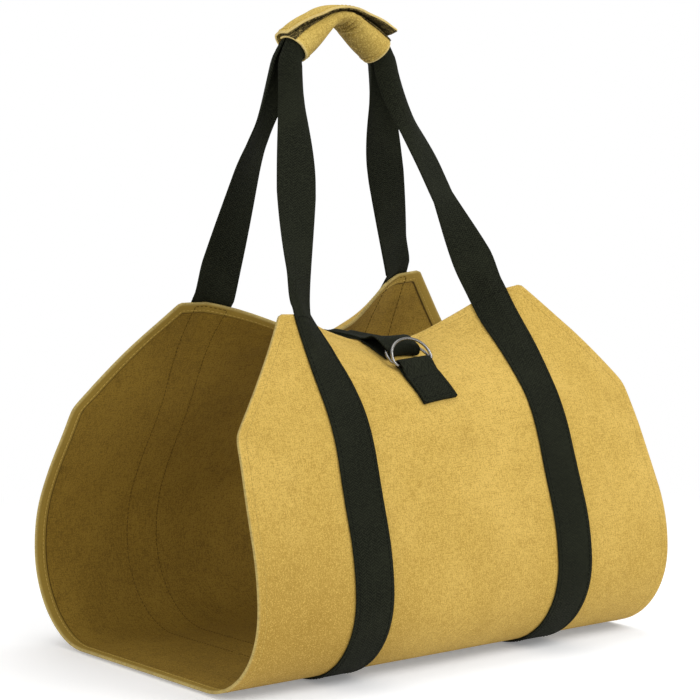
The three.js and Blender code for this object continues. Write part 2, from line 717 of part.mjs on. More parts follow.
const carrier = new THREE.Group();
carrier.name = "log_carrier";
const add = (name, geometry, material) => {
  const mesh = new THREE.Mesh(geometry, material);
  mesh.name = name;
  carrier.add(mesh);
};
add("canvas_body", canvasBody(), CANVAS_OUT);
add("front_webbing", webbing(FRONT_WALL), WEBBING_BLACK);
add("back_webbing", webbing(BACK_WALL), WEBBING_BLACK);
add("grip_wrap", archStrip(wrapSection, CANVAS), CANVAS_OUT);
add("loop_tape", archStrip(tapeSection, TAPE), TAPE_BROWN);
add("hook_tape", archStrip(hookSection, TAPE), TAPE_BROWN);
add("closure_strap", closureStrap(), WEBBING_BLACK);
add("ring_tab", ringTab(), WEBBING_BLACK);
add("d_ring_lower", dRing(LOWER_RING), RING_METAL);
add("d_ring_upper", dRing(UPPER_RING), RING_METAL);

export default carrier;
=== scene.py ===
"""Looks of a log carrier: a waxed canvas sling, webbing loops, a wrapped grip and a double ring closure.

Metres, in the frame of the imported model: X runs along the sling, the ringed front wall is at -Y, +Z is up.
"""
import math
from dataclasses import dataclass

import bpy
import numpy as np
from mathutils import Matrix, Vector


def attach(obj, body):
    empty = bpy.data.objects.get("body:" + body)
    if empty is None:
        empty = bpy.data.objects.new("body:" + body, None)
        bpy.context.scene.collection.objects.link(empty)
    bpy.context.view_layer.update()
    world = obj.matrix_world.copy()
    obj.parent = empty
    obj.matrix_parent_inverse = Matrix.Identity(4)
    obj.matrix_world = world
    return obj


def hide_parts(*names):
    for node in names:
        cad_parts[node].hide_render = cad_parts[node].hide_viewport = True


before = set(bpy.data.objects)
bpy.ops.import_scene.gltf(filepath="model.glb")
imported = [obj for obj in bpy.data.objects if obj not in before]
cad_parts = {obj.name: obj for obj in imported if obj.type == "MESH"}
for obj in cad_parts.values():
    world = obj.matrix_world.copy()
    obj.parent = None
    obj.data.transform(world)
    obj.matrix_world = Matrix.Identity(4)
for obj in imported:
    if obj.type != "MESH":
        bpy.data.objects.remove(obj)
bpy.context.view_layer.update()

# Camera, fitted to the photograph
AZIMUTH = -37.14
ELEVATION = 5.27
ROLL = -0.67
DISTANCE = 2.118
TARGET = (0.0, 0.0, 0.268)
TARGET_SHIFT = (0.00214, 0.00049)  # right and up
SENSOR = 36.0
FOCAL_SHARE = 2300 / 700  # focal length over the frame's width

# Canvas sheet
SHEET_WIDTH = 0.460
CANVAS = 0.0016
HEM_WIDTH = 0.010
HEM_EXTRA = 0.0012
HEM_STEP = {"in": 0.0004, "past": 0.0008}  # where the hem's thickness ends, about its width
EAR_X = 0.146
EAR_ROUND = 0.0024
TAPER_RUN = 0.107
SHOULDER_ROUND = 0.006
TAPER_SLOPE = (SHEET_WIDTH / 2 - EAR_X) / TAPER_RUN
TAPER_EASE = 0.01  # walked to each side of a slanted edge's start, where the hem turns with it
GAP = 0.0003
WEBBING_WIDTH = 0.040
WEBBING = 0.002
STRAP_X = 0.1135
SEAM_GAP = 0.0003
BASE_Z = WEBBING + GAP + CANVAS / 2
WEBBING_LIFT = CANVAS / 2 + GAP + WEBBING / 2


@dataclass
class Wall:
    """One wall, walked from the middle of the base: stretches of a length and an inward turn in degrees."""

    side: int
    stretches: list  # base, corner, belly, wall, shoulder, slope and ear
    pull_start: float
    pull_turn: float
    pull_peak: float
    skew_turn: float
    end_turn: float
    edge_rise: tuple  # on the left and on the right, as the legs' values are
    leg_foot: float
    leg_drop: float
    leg_twist: tuple
    leg_turned: tuple

    def __post_init__(self):
        self.lengths = np.concatenate([[0], np.cumsum([row["length"] for row in self.stretches])])
        self.turns = np.concatenate([[0], np.cumsum([row["turn"] for row in self.stretches])])
        self.total = self.lengths[-1]


FRONT = Wall(
    side=-1,
    stretches=[
        {"length": 0.101, "turn": 0},
        {"length": 0.127, "turn": 90},
        {"length": 0.058, "turn": 16.5},
        {"length": 0.052, "turn": -1.5},
        {"length": 0.056, "turn": 17.5},
        {"length": 0.060, "turn": 2},
        {"length": 0.033, "turn": -10},
    ],
    pull_start=0.360,
    pull_turn=47,
    pull_peak=0,
    skew_turn=-1.5,
    end_turn=7,
    edge_rise=(-0.008, 0.007),
    leg_foot=0.35,
    leg_drop=0.5,
    leg_twist=(6, 26),
    leg_turned=(0.45, 0.4),
)
BACK = Wall(
    side=1,
    stretches=[
        {"length": 0.101, "turn": 0},
        {"length": 0.127, "turn": 90},
        {"length": 0.058, "turn": 26.5},
        {"length": 0.062, "turn": 5},
        {"length": 0.060, "turn": -11},
        {"length": 0.055, "turn": 11.5},
        {"length": 0.031, "turn": -3},
    ],
    pull_start=0.365,
    pull_turn=48,
    pull_peak=1.2,
    skew_turn=3.9,
    end_turn=16,
    edge_rise=(0.001, 0.005),
    leg_foot=0.1,
    leg_drop=0.06,
    leg_twist=(30, 8),
    leg_turned=(0.62, 0.45),
)
WALLS = (FRONT, BACK)
PULL_REACH = 0.125
PULL_KNEE = 0.118
PULL_FAR = 0.3
PULL_RUN = 0.115
RISE_START = 0.250
SKEW_START = 0.250
SKEW_RUN = 0.080
BELLY_START = 0.228
SHOULDER_START = 0.338
END_RUN = 0.057
WALK_STEPS = 110
PROBE = 0.001

# Grip
GRIP_X = -0.0105
GRIP_TOP = 0.572
ARCH_RADIUS = 0.026
ARCH_SLOPE = 37
ARCH_STRAIGHT = 0.040
CUP_CROWN = {"height": 0.0032, "depth": 0.0175}
CUP_END = {"height": 0.011, "depth": 0.0145}
CUP_FULL = 0.8
CUP_ANGLE = 84
LEG_LEAD = 0.007
LEG_HELD = 0.68
LEG_CUP_START = 0.5
FREE_START = 0.006

# Wrap
WRAP_CLEARANCE = 0.0006
TAPE = 0.0012
FLAP_RUN = 0.023
FLAP_SHORTER = {"left": 0.013, "right": 0.006}
FLAP_DROP = 0.002
FLAP_LIFT = 0.006
WRAP_OFFSET = WEBBING / 2 + WRAP_CLEARANCE + CANVAS / 2
WRAP_START = -28
WRAP_CLIMB = {"from": 280, "to": 330}
FLAP_START = 352
FLAP_HEIGHT = CANVAS + 2 * TAPE + 3 * GAP
TAPE_START = -14
TAPE_END = 47

# Closure
CLOSURE_WIDTH = 0.040
CLOSURE = 0.0015
CLOSURE_GAP = 0.00055
CLOSURE_SAG = 0.004
CLOSURE_SEWN = 0.046
TAIL_END = 0.2
FOLD_PLACE = {"middle": 0.020, "edge": 0.015}
FOLD_REACH = 0.004
TAIL_REACH = 0.004
TAIL_LANDING = [
    {"share": 0.55, "height": 0.0075},
    {"share": 0.8, "height": 0.0025},
    {"share": 1.0, "height": 0.0},
]
TAB_TILT = 4
TAB_X = -0.009
TAB_LENGTH = 0.046
BAR_FROM_EDGE = 0.056
WIRE = 0.0013
RING_HALF = 0.0238
RING_CORNER = 0.006
RING_ARC = 0.018
RING_DEPTH = RING_CORNER + RING_ARC
LOWER_RING = {"bar": 0.0, "lift": 14}
UPPER_RING = {"bar": -2 * WIRE - GAP, "lift": 38}
REST = CANVAS / 2 + CLOSURE_GAP
STRAP_HEIGHT = REST + CLOSURE / 2
BAR_HEIGHT = REST + CLOSURE + 2 * CLOSURE_GAP + WIRE
ROUND_WIRE = WIRE + CLOSURE_GAP + CLOSURE / 2
TAIL_HEIGHT = STRAP_HEIGHT + CLOSURE + GAP
BAR_WALK = FRONT.total - BAR_FROM_EDGE
MOUTH_STEPS = 7

# Stitches
STITCH_LENGTH = 0.0031
STITCH_PITCH = 0.0043
STITCH_RADIUS = 0.00042
HEM_STITCH = 0.0076  # hem seam, in from the edge
STRAP_STITCH = 0.0035  # strap seams, in from the strap's edge


# Small helpers
NOISE_GRID = 64  # steps after which the noise repeats


def smooth(value, low, high):
    share = np.clip((np.asarray(value, float) - low) / (high - low), 0, 1)
    return share * share * (3 - 2 * share)


def mix(a, b, share):
    return a + (b - a) * share


def unit(v):
    return v / np.maximum(np.linalg.norm(v, axis=-1, keepdims=True), 1e-12)


def noise(u, v, seed):
    """Smooth noise from -1 to 1 over a plane, one random value for each whole step of u and v."""
    size = NOISE_GRID
    grid = np.random.default_rng(seed).uniform(-1, 1, (size, size))
    u, v = np.broadcast_arrays(np.asarray(u, float), np.asarray(v, float))
    iu, iv = np.floor(u).astype(int), np.floor(v).astype(int)
    fu, fv = smooth(u - iu, 0, 1), smooth(v - iv, 0, 1)
    corner = lambda a, b: grid[(iu + a) % size, (iv + b) % size]
    low = mix(corner(0, 0), corner(1, 0), fu)
    high = mix(corner(0, 1), corner(1, 1), fu)
    return mix(low, high, fv)


def patches(u, v, row):
    """Smooth noise with its size each way and its seed from a table's row."""
    return noise(u / row["size"][0], v / row["size"][1], row["seed"])


def hump(value, middle, reach):
    """One at the middle, falling smoothly to nothing past the reach."""
    return np.exp(-(((value - middle) / reach) ** 2))


def bezier(a, b, c, d, s):
    """Points at shares s of a curve from a to d, which b and c steer."""
    return a * (1 - s) ** 3 + 3 * b * s * (1 - s) ** 2 + 3 * c * s * s * (1 - s) + d * s ** 3


def run_along(line):
    """Length walked along a line of points, at each of them."""
    return np.concatenate([[0], np.cumsum(np.linalg.norm(np.diff(line, axis=0), axis=1))])


def picked(line, run, at):
    """Points of a line at lengths along it."""
    return np.stack([np.interp(at, run, line[:, k]) for k in range(3)], axis=1)


def even(line, shares):
    """Points at shares of a line's length."""
    run = run_along(line)
    return picked(line, run, np.asarray(shares, float) * run[-1])


def turned(v, axis, angle):
    """A vector turned about a unit axis by an angle in degrees."""
    c, s = math.cos(math.radians(angle)), math.sin(math.radians(angle))
    return v * c + np.cross(axis, v) * s + axis * np.dot(axis, v) * (1 - c)


# Canvas surface
def walk(wall, x, t):
    """Point of the wall's middle surface at x, after walking t up from the middle of the base."""
    x, t = np.broadcast_arrays(np.asarray(x, float), np.asarray(t, float))
    rise = np.where(x < 0, wall.edge_rise[0], wall.edge_rise[1]) * np.abs(x) / STRAP_X
    t = t + rise * smooth(t, RISE_START, wall.total)
    near = np.minimum(np.abs(x), PULL_KNEE)
    far = np.maximum(0, np.abs(x) - PULL_KNEE) * PULL_FAR
    spread = (near * near + 2 * PULL_KNEE * far) / PULL_REACH ** 2
    pull = wall.pull_turn * (1 - spread * (1 + wall.pull_peak) / (1 + spread * wall.pull_peak))
    skew = -wall.skew_turn * x / STRAP_X
    end = wall.end_turn * (np.maximum(0, x) / (SHEET_WIDTH / 2)) ** 2
    step = t / WALK_STEPS
    y = np.zeros(x.shape)
    z = np.full(x.shape, BASE_Z)
    for k in range(WALK_STEPS):
        middle = (k + 0.5) * step
        drawn = np.maximum(0, middle - wall.pull_start) / PULL_RUN
        skewed = np.clip((middle - SKEW_START) / SKEW_RUN, 0, 1)
        early = np.clip((middle - BELLY_START) / END_RUN, 0, 1)
        late = np.clip((middle - SHOULDER_START) / END_RUN, 0, 1)
        turn = pull * drawn + skew * skewed + end * (early - late)
        heading = np.radians(np.interp(middle, wall.lengths, wall.turns) + turn)
        y = y + step * np.cos(heading)
        z = z + step * np.sin(heading)
    return np.stack([x, wall.side * y, z], axis=-1)


def half_width(wall, t):
    past = t - (wall.total - TAPER_RUN)
    rounded = (past + np.hypot(past, SHOULDER_ROUND)) / 2
    width = SHEET_WIDTH / 2 - np.maximum(0, rounded) * TAPER_SLOPE
    into = np.clip(t - (wall.total - EAR_ROUND), 0, EAR_ROUND)
    return width - (EAR_ROUND - np.sqrt(EAR_ROUND ** 2 - into ** 2))


def edge_lean(wall, t):
    """Share of a distance along X that is square to the side edge, less where that edge slants."""
    start = wall.total - TAPER_RUN
    return mix(1, math.cos(math.atan(TAPER_SLOPE)), smooth(t, start - TAPER_EASE, start + TAPER_EASE))


WAVES = [
    {"size": (0.120, 0.095), "height": 0.0011, "seed": 3},
    {"size": (0.055, 0.070), "height": 0.0005, "seed": 4},
    {"size": (0.022, 0.030), "height": 0.00016, "seed": 5},
]
CLOTH_FREE = {"from": 0.105, "to": 0.2}  # walked up from where the cloth lies flat on its base
# drag folds that fan out from the closure
DRAG = {"count": 9, "height": 0.0011, "run": 0.085, "from": 0.025, "to": 0.055, "beside": 0.012,
        "wander": 1.7, "size": (0.06, 0.06), "seed": 8}
# puckers beside the sewn webbing
PUCKER = {"height": 0.00022, "length": 0.0105, "reach": 0.006, "clear": 0.0008,
          "wander": 2.2, "size": (0.03, 0.04), "seed": 9}


def relief(wall, x, t):
    """Height of the soft waves and puckers in the cloth, off its middle surface."""
    x, t = np.broadcast_arrays(np.asarray(x, float), np.asarray(t, float))
    run = wall.side * t
    height = np.zeros(x.shape)
    for wave in WAVES:
        height = height + wave["height"] * patches(x, run, wave)
    across, up = x - TAB_X, t - (wall.total - BAR_FROM_EDGE / 2)
    far = np.hypot(across, up)
    turn = np.arctan2(up, np.abs(across) + DRAG["beside"])
    fan = np.cos(DRAG["count"] * turn + DRAG["wander"] * patches(x, run, DRAG))
    near = smooth(far, DRAG["from"], DRAG["to"]) * hump(far, 0, DRAG["run"])
    height = height + DRAG["height"] * fan * near
    beside = np.abs(np.abs(x) - STRAP_X) - WEBBING_WIDTH / 2
    wobble = np.sin(2 * math.pi * run / PUCKER["length"] + PUCKER["wander"] * patches(x, run, PUCKER))
    near = (beside > PUCKER["clear"]) * hump(beside, 0, PUCKER["reach"])
    height = height + PUCKER["height"] * wobble * near
    return height * smooth(t, CLOTH_FREE["from"], CLOTH_FREE["to"])


def frame_at(wall, x, t):
    up = unit(walk(wall, x, np.asarray(t) + PROBE) - walk(wall, x, np.maximum(0, np.asarray(t) - PROBE)))
    across = unit(walk(wall, np.asarray(x) + PROBE, t) - walk(wall, np.asarray(x) - PROBE, t))
    normal = unit(np.cross(up, across)) * wall.side
    return walk(wall, x, t), up, normal


def lifted(wall, x, t, height):
    """Point at a height off the cloth's middle surface, with its normal."""
    point, _, normal = frame_at(wall, x, t)
    return point + normal * (np.asarray(height) + relief(wall, x, t))[..., None], normal


# Mesh helpers
def placed(name, data):
    """A new object of the scene."""
    made = bpy.data.objects.new(name, data)
    bpy.context.scene.collection.objects.link(made)
    return made


def add_object(name, verts, faces):
    mesh = bpy.data.meshes.new(name)
    mesh.from_pydata(np.asarray(verts).tolist(), [], faces)
    mesh.update()
    mesh.polygons.foreach_set("use_smooth", np.ones(len(mesh.polygons), bool))
    return placed(name, mesh)


def give_cloth(piece, coordinates):
    """The place of each vertex on the flat cloth, which the materials' weave follows."""
    attribute = piece.data.attributes.new("cloth", "FLOAT_VECTOR", "POINT")
    attribute.data.foreach_set("vector", np.asarray(coordinates, np.float32).ravel())


def grid_faces(rows, columns, start=0, flip=False):
    r, c = np.meshgrid(np.arange(rows - 1), np.arange(columns - 1), indexing="ij")
    k = start + (r * columns + c).ravel()
    quads = np.stack([k, k + 1, k + columns + 1, k + columns], axis=1)
    return quads[:, ::-1] if flip else quads


def ring_faces(rows, around):
    """Faces of a closed section carried along rows, without ends."""
    r, c = np.meshgrid(np.arange(rows - 1), np.arange(around), indexing="ij")
    k, n = r * around + c, r * around + (c + 1) % around
    return np.stack([k, n, n + around, k + around], axis=-1).reshape(-1, 4)


def tube_faces(rows, around):
    """The same with both ends closed."""
    ends = [list(range(around))[::-1], list(range((rows - 1) * around, rows * around))]
    return ring_faces(rows, around).tolist() + ends


def circles(sides, across, up):
    """Round each place of a line, a circle of radius one from two square directions."""
    angle = np.arange(sides) / sides * 2 * math.pi
    return np.cos(angle)[None, :, None] * across[:, None] + np.sin(angle)[None, :, None] * up[:, None]


def outward(piece):
    """Turns a closed piece's faces out if they point in."""
    mesh = piece.data
    mesh.calc_loop_triangles()
    co = np.zeros(len(mesh.vertices) * 3)
    mesh.vertices.foreach_get("co", co)
    tri = np.zeros(len(mesh.loop_triangles) * 3, int)
    mesh.loop_triangles.foreach_get("vertices", tri)
    a, b, c = (co.reshape(-1, 3)[tri.reshape(-1, 3)[:, k]] for k in range(3))
    if (a * np.cross(b, c)).sum() < 0:
        mesh.flip_normals()
    return piece


# Band: rows of middle points and normals, closed with rounded edges and ends
BAND_STEPS = np.array([-1, -0.985, -0.955, -0.9, -0.78, -0.6, -0.4, -0.2, 0])
BAND_ACROSS = np.concatenate([BAND_STEPS, -BAND_STEPS[-2::-1]])
BAND_ROUND = 0.05  # share of the half width over which the edge rounds off
BAND_EDGE = 0.35  # thickness left at the very edge, as a share


def band(name, middles, normals, thickness):
    """A strap from rows of points across it, with its thickness to both sides."""
    rows, across = middles.shape[:2]
    inner = np.clip((np.abs(BAND_ACROSS) - (1 - BAND_ROUND)) / BAND_ROUND, 0, 1)
    half = thickness / 2 * mix(1, BAND_EDGE, 1 - np.sqrt(1 - inner ** 2))
    top = middles + normals * half[None, :, None]
    low = middles - normals * half[None, :, None]
    section = np.concatenate([top, low[:, ::-1]], axis=1)
    around = section.shape[1]
    piece = add_object(name, section.reshape(-1, 3), tube_faces(rows, around))
    width = np.concatenate([BAND_ACROSS, BAND_ACROSS[::-1]]) * WEBBING_WIDTH / 2
    along = np.linspace(0, run_along(middles[:, across // 2])[-1], rows)
    side = np.concatenate([np.ones(across), -np.ones(across)])
    give_cloth(piece, np.stack(np.broadcast_arrays(width[None, :], along[:, None], side[None, :]), axis=-1))
    return outward(piece)


# Canvas sling
CANVAS_STEP = 0.0034
EDGE_RUN = 0.0140  # finer rows and columns this near an edge
EDGE_STEPS = 10
GROOVE = {"depth": 0.00022, "width": 0.0012}
RIM_OUT = 0.7  # how far the folded edge rounds out, in half thicknesses


def edge_places(length):
    """Distances from the middle to an edge, finer near it."""
    count = round((length - EDGE_RUN) / CANVAS_STEP)
    inner = np.linspace(0, length - EDGE_RUN, count + 1)
    outer = length - EDGE_RUN + EDGE_RUN * np.arange(1, EDGE_STEPS + 1) / EDGE_STEPS
    return np.concatenate([inner, outer])


def canvas_columns(width):
    """Column places for rows of the given half widths: the ones near the edge keep their distance to it."""
    whole = edge_places(SHEET_WIDTH / 2)
    count = len(whole) - EDGE_STEPS
    inner = whole[:count] / whole[count - 1] * (width[:, None] - EDGE_RUN)
    outer = width[:, None] - (SHEET_WIDTH / 2 - whole[count:])
    half = np.concatenate([inner, outer], axis=1)
    return np.concatenate([-half[:, :0:-1], half], axis=1)


def canvas_wall(wall):
    """Grids of x, run, points, normals and edge distances of one wall, from the base up."""
    t = edge_places(wall.total)
    width = half_width(wall, t)
    x = canvas_columns(width)
    rows = np.broadcast_to(t[:, None], x.shape)
    point, normal = lifted(wall, x, rows, 0.0)
    edge = np.minimum((width[:, None] - np.abs(x)) * edge_lean(wall, rows), wall.total - rows)
    return x, wall.side * rows, point, normal, edge


def canvas_sling():
    walls = zip(canvas_wall(FRONT), canvas_wall(BACK))
    x, run, middle, normal, edge = (np.concatenate([front[::-1], back[1:]]) for front, back in walls)
    groove = GROOVE["depth"] * hump(edge, HEM_STITCH, GROOVE["width"])
    hem = HEM_EXTRA * (1 - smooth(edge, HEM_WIDTH - HEM_STEP["in"], HEM_WIDTH + HEM_STEP["past"]))
    outer = middle + normal * (CANVAS / 2 - groove)[..., None]
    inner = middle - normal * (CANVAS / 2 + hem - groove)[..., None]
    rows, columns = x.shape
    border = [(0, c) for c in range(columns)]
    border += [(r, columns - 1) for r in range(1, rows)]
    border += [(rows - 1, c) for c in range(columns - 2, -1, -1)]
    border += [(r, 0) for r in range(rows - 2, 0, -1)]
    br, bc = np.array(border).T
    out = unit(middle[br, bc] - middle[np.clip(br, 1, rows - 2), np.clip(bc, 1, columns - 2)])
    thick = np.linalg.norm(outer[br, bc] - inner[br, bc], axis=1)[:, None]
    rim = (outer[br, bc] + inner[br, bc]) / 2 + out * thick / 2 * RIM_OUT
    size = rows * columns
    k = br * columns + bc
    n = np.roll(k, -1)
    m = 2 * size + np.arange(len(k))
    mn = np.roll(m, -1)
    face_sets = [
        grid_faces(rows, columns),
        grid_faces(rows, columns, size, flip=True),
        np.concatenate([np.stack([k, m, mn, n], axis=1), np.stack([m, k + size, n + size, mn], axis=1)]),
    ]
    verts = np.concatenate([outer.reshape(-1, 3), inner.reshape(-1, 3), rim])
    piece = add_object("canvas_sling", verts, np.concatenate(face_sets).tolist())
    flat = np.stack([x, run, edge], axis=-1).reshape(-1, 3)
    rim_flat = np.stack([x[br, bc], run[br, bc], np.zeros(len(br))], axis=1)
    give_cloth(piece, np.concatenate([flat, flat, rim_flat]))
    slots = np.repeat(np.arange(len(face_sets), dtype=np.int32), [len(faces) for faces in face_sets])
    piece.data.polygons.foreach_set("material_index", slots)
    return outward(piece)


# Grip arch
def arch(lengths):
    """Points of the grip's arch at lengths from its crown, with the directions along it and out of it."""
    slope = math.radians(ARCH_SLOPE)
    angle = np.clip(np.asarray(lengths) / ARCH_RADIUS, -slope, slope)
    past = np.asarray(lengths) - angle * ARCH_RADIUS
    zero = np.zeros(angle.shape)
    forward = np.stack([np.cos(angle), zero, -np.sin(angle)], axis=-1)
    out = np.stack([np.sin(angle), zero, np.cos(angle)], axis=-1)
    crown = np.array([GRIP_X, 0, GRIP_TOP - ARCH_RADIUS])
    return crown + out * ARCH_RADIUS + forward * past[..., None], forward, out


ARCH_HALF = ARCH_RADIUS * math.radians(ARCH_SLOPE) + ARCH_STRAIGHT


def cup_size(place):
    share = smooth(np.abs(place), 0, CUP_FULL)
    height = mix(CUP_CROWN["height"], CUP_END["height"], share)
    return height, mix(CUP_CROWN["depth"], CUP_END["depth"], share)


# Webbing loops
SEWN_ROWS = 150
LEG_ROWS = 70
LEG_CURVE = 400
LEG_PROBE = 0.01
CROWN_ROWS = 70
FOOT_BLEND = 0.14
JOINT_BLUR = 4  # rows to each side over which the bend at the wrap's end is eased


def strap_row(middle, inward, facing, cup, height, depth):
    q = BAND_ACROSS
    angle = math.radians(CUP_ANGLE) * q
    wide = mix(WEBBING_WIDTH / 2 * q, height * np.sin(angle), cup)
    deep = mix(0, depth * (1 - np.cos(angle)), cup)
    points = middle + np.outer(wide, inward) - np.outer(deep, facing)
    tilt = np.outer(np.cos(angle * cup), facing) + np.outer(np.sin(angle * cup), inward)
    return points, unit(tilt)


def strap_half(wall, sign, t):
    """Half the strap's width along X, less where the wall runs slanting under it."""
    t = np.asarray(t, float)
    x = np.full(t.shape, sign * STRAP_X)
    across = walk(wall, x + PROBE, t) - walk(wall, x - PROBE, t)
    return WEBBING_WIDTH * PROBE / np.linalg.norm(across, axis=-1)


def sewn_rows(wall, sign):
    t = np.linspace(SEAM_GAP / 2, wall.total + FREE_START, SEWN_ROWS)
    x = sign * (STRAP_X - BAND_ACROSS[None, :] * strap_half(wall, sign, t)[:, None])
    return lifted(wall, x, t[:, None], WEBBING_LIFT)


def leg_rows(wall, sign, foot_row):
    x, t = np.array(sign * STRAP_X), np.array(wall.total + FREE_START)
    point, up, normal = frame_at(wall, x, t)
    start = point + normal * (WEBBING_LIFT + relief(wall, x, t))
    facing = np.array([0.0, wall.side, 0.0])
    station, _, _ = arch(sign * (ARCH_HALF + LEG_LEAD))
    end = station + facing * CUP_END["depth"]
    reach = np.linalg.norm(end - start) / 3
    drop = np.array([0, 0, -reach * wall.leg_drop])
    along = np.linspace(0, 1, LEG_CURVE)[:, None]
    curve = bezier(start, start + up * reach * wall.leg_foot, end + drop, end, along)
    twist = math.radians(wall.leg_twist[sign > 0])
    away = np.array([sign * math.sin(twist), wall.side * math.cos(twist), 0])
    shares = np.arange(1, LEG_ROWS + 1) / LEG_ROWS
    places = even(curve, shares)
    ahead = unit(even(curve, np.minimum(shares + LEG_PROBE, 1)) - even(curve, shares - LEG_PROBE))
    flat_foot, _ = strap_row(start, inward_of(up, normal, sign), normal, 0, 0, 0)
    lift = foot_row - flat_foot
    middles, normals = [], []
    for u, place, tangent in zip(shares, places, ahead):
        face = mix(normal, away, min(1, u / wall.leg_turned[sign > 0]))
        face = mix(face, facing, smooth(u, LEG_HELD, 1))
        face = unit(face - tangent * np.dot(face, tangent))
        inward = inward_of(tangent, face, sign)
        cup = smooth(u, LEG_CUP_START, 1)
        points, tilt = strap_row(place, inward, face, cup, CUP_END["height"], CUP_END["depth"])
        middles.append(points + lift * (1 - smooth(u, 0, FOOT_BLEND)))
        normals.append(tilt)
    return np.array(middles), np.array(normals)


def inward_of(tangent, face, sign):
    inward = unit(np.cross(tangent, face))
    return -inward if inward[0] * sign > 0 else inward


def crown_rows(wall):
    facing = np.array([0.0, wall.side, 0.0])
    lengths = np.linspace(-ARCH_HALF - LEG_LEAD, ARCH_HALF + LEG_LEAD, CROWN_ROWS)[1:-1]
    points, _, out = arch(lengths)
    rows = []
    for point, direction, length in zip(points, out, lengths):
        height, depth = cup_size(length / ARCH_HALF)
        rows.append(strap_row(point + facing * depth, -direction, facing, 1, height, depth))
    return np.array([r[0] for r in rows]), np.array([r[1] for r in rows])


def eased(rows, places):
    """Averages each row near the given places with its neighbours."""
    out = rows.copy()
    for place in places:
        for r in range(place - 2 * JOINT_BLUR, place + 2 * JOINT_BLUR + 1):
            reach = JOINT_BLUR - abs(r - place) // 2
            out[r] = rows[r - reach : r + reach + 1].mean(axis=0)
    return out


def webbing_loop(wall, name):
    halves = []
    for sign in (-1, 1):
        sewn, sewn_normals = sewn_rows(wall, sign)
        leg, leg_normals = leg_rows(wall, sign, sewn[-1])
        halves.append((np.concatenate([sewn, leg]), np.concatenate([sewn_normals, leg_normals])))
    crown, crown_normals = crown_rows(wall)
    left, right = halves
    middles = np.concatenate([left[0], crown, right[0][::-1]])
    normals = np.concatenate([left[1], crown_normals, right[1][::-1]])
    joints = (len(left[0]), len(left[0]) + len(crown) - 1)
    middles = eased(middles, joints)
    normals = unit(eased(normals, joints))
    return band(name, middles, normals, WEBBING)


# Wrap
WRAP_ROWS = 220
WRAP_TURN = 110
FLAP_POINTS = 26
TAPE_POINTS = 24
# wrinkles in the bend, with creases between them: where they are deepest, along the arch and round it
WRINKLE = {"height": 0.0042, "length": 0.0078, "middle": 0.0095, "reach": 0.0125, "run": 0.046, "wide": 0.014,
           "crease": 0.09, "lean": 0.2, "wander": 1.1, "size": (0.012, 0.02), "seed": 21}
WRAP_SOFT = {"height": 0.00035, "start": 0.01, "size": (0.014, 0.016), "seed": 22}
WRAP_HEM = {"from": 0.0055, "to": 0.0068, "start": 0.004, "extra": 0.28}
PILE = {"height": 0.00022, "size": (0.0016, 0.0016), "seed": 31}


def oval(place, angle, offset):
    height, depth = cup_size(place)
    out = WRAP_OFFSET + offset
    radians = np.radians(angle)
    return np.stack([-np.sin(radians) * (depth + out), np.cos(radians) * (height + out)], axis=-1)


def flap_run(place, count):
    start = oval(place, FLAP_START, FLAP_HEIGHT)
    shorter = FLAP_SHORTER["left"] if place < 0 else FLAP_SHORTER["right"]
    run = FLAP_RUN - shorter * place ** 2
    rise = FLAP_LIFT * max(0, place) ** 2 - FLAP_DROP * (run / FLAP_RUN) ** 2
    share = np.arange(1, count + 1) / count
    return np.stack([start[0] - run * share, start[1] + rise * share ** 2], axis=-1)


def wrap_section(place):
    angle = np.linspace(WRAP_START, FLAP_START, WRAP_TURN)
    climb = FLAP_HEIGHT * smooth(angle, WRAP_CLIMB["from"], WRAP_CLIMB["to"])
    return np.concatenate([oval(place, angle, climb), flap_run(place, FLAP_POINTS)])


def tape_section(place):
    angle = np.linspace(TAPE_START, TAPE_END, TAPE_POINTS)
    return oval(place, angle, (CANVAS + TAPE) / 2 + GAP)


def section_normals(section):
    """Normals of a section, which point in to the grip."""
    run = unit(np.gradient(section, axis=0))
    return np.stack([-run[:, 1], run[:, 0]], axis=-1)


def hook_section(place):
    section = flap_run(place, TAPE_POINTS)
    return section + section_normals(section) * ((CANVAS + TAPE) / 2 + GAP)


def arch_place(point, direction, spots):
    """Spots of a section set in space: the first value goes along Y, the second out of the arch."""
    return point + np.outer(spots[:, 0], (0, 1, 0)) + np.outer(spots[:, 1], direction)


def strip_row(section_at, bumps, thickness, length):
    """A strip's section at a length along the arch: points, normals, run, push inwards, half thickness."""
    section = section_at(length / ARCH_HALF)
    run = run_along(section)
    return section, section_normals(section), run, *bumps(length, run, thickness)


def arch_strip(name, section_at, thickness, bumps):
    """A section strip carried along the arch, as a closed piece with a cloth place for each vertex."""
    lengths = np.linspace(-ARCH_HALF, ARCH_HALF, WRAP_ROWS)
    points, _, out = arch(lengths)
    rows, flat = [], []
    for point, direction, length in zip(points, out, lengths):
        section, normals, run, pushed, half = strip_row(section_at, bumps, thickness, length)
        inner = section + normals * (pushed + half)[:, None]
        outer = section + normals * (pushed - half)[:, None]
        rows.append(arch_place(point, direction, np.concatenate([inner, outer[::-1]])))
        edge = np.minimum(np.minimum(run, run[-1] - run), ARCH_HALF - abs(length))
        places = np.stack([np.full(len(run), length), run, edge], axis=1)
        flat.append(np.concatenate([places, places[::-1]]))
    around = len(rows[0])
    faces = ring_faces(len(rows), around).tolist()
    for row in (0, len(rows) - 1):
        base = row * around
        for c in range(around // 2 - 1):
            quad = [base + c, base + c + 1, base + around - 2 - c, base + around - 1 - c]
            faces.append(quad if row else quad[::-1])
    piece = add_object(name, np.concatenate(rows), faces)
    give_cloth(piece, np.concatenate(flat))
    return outward(piece)


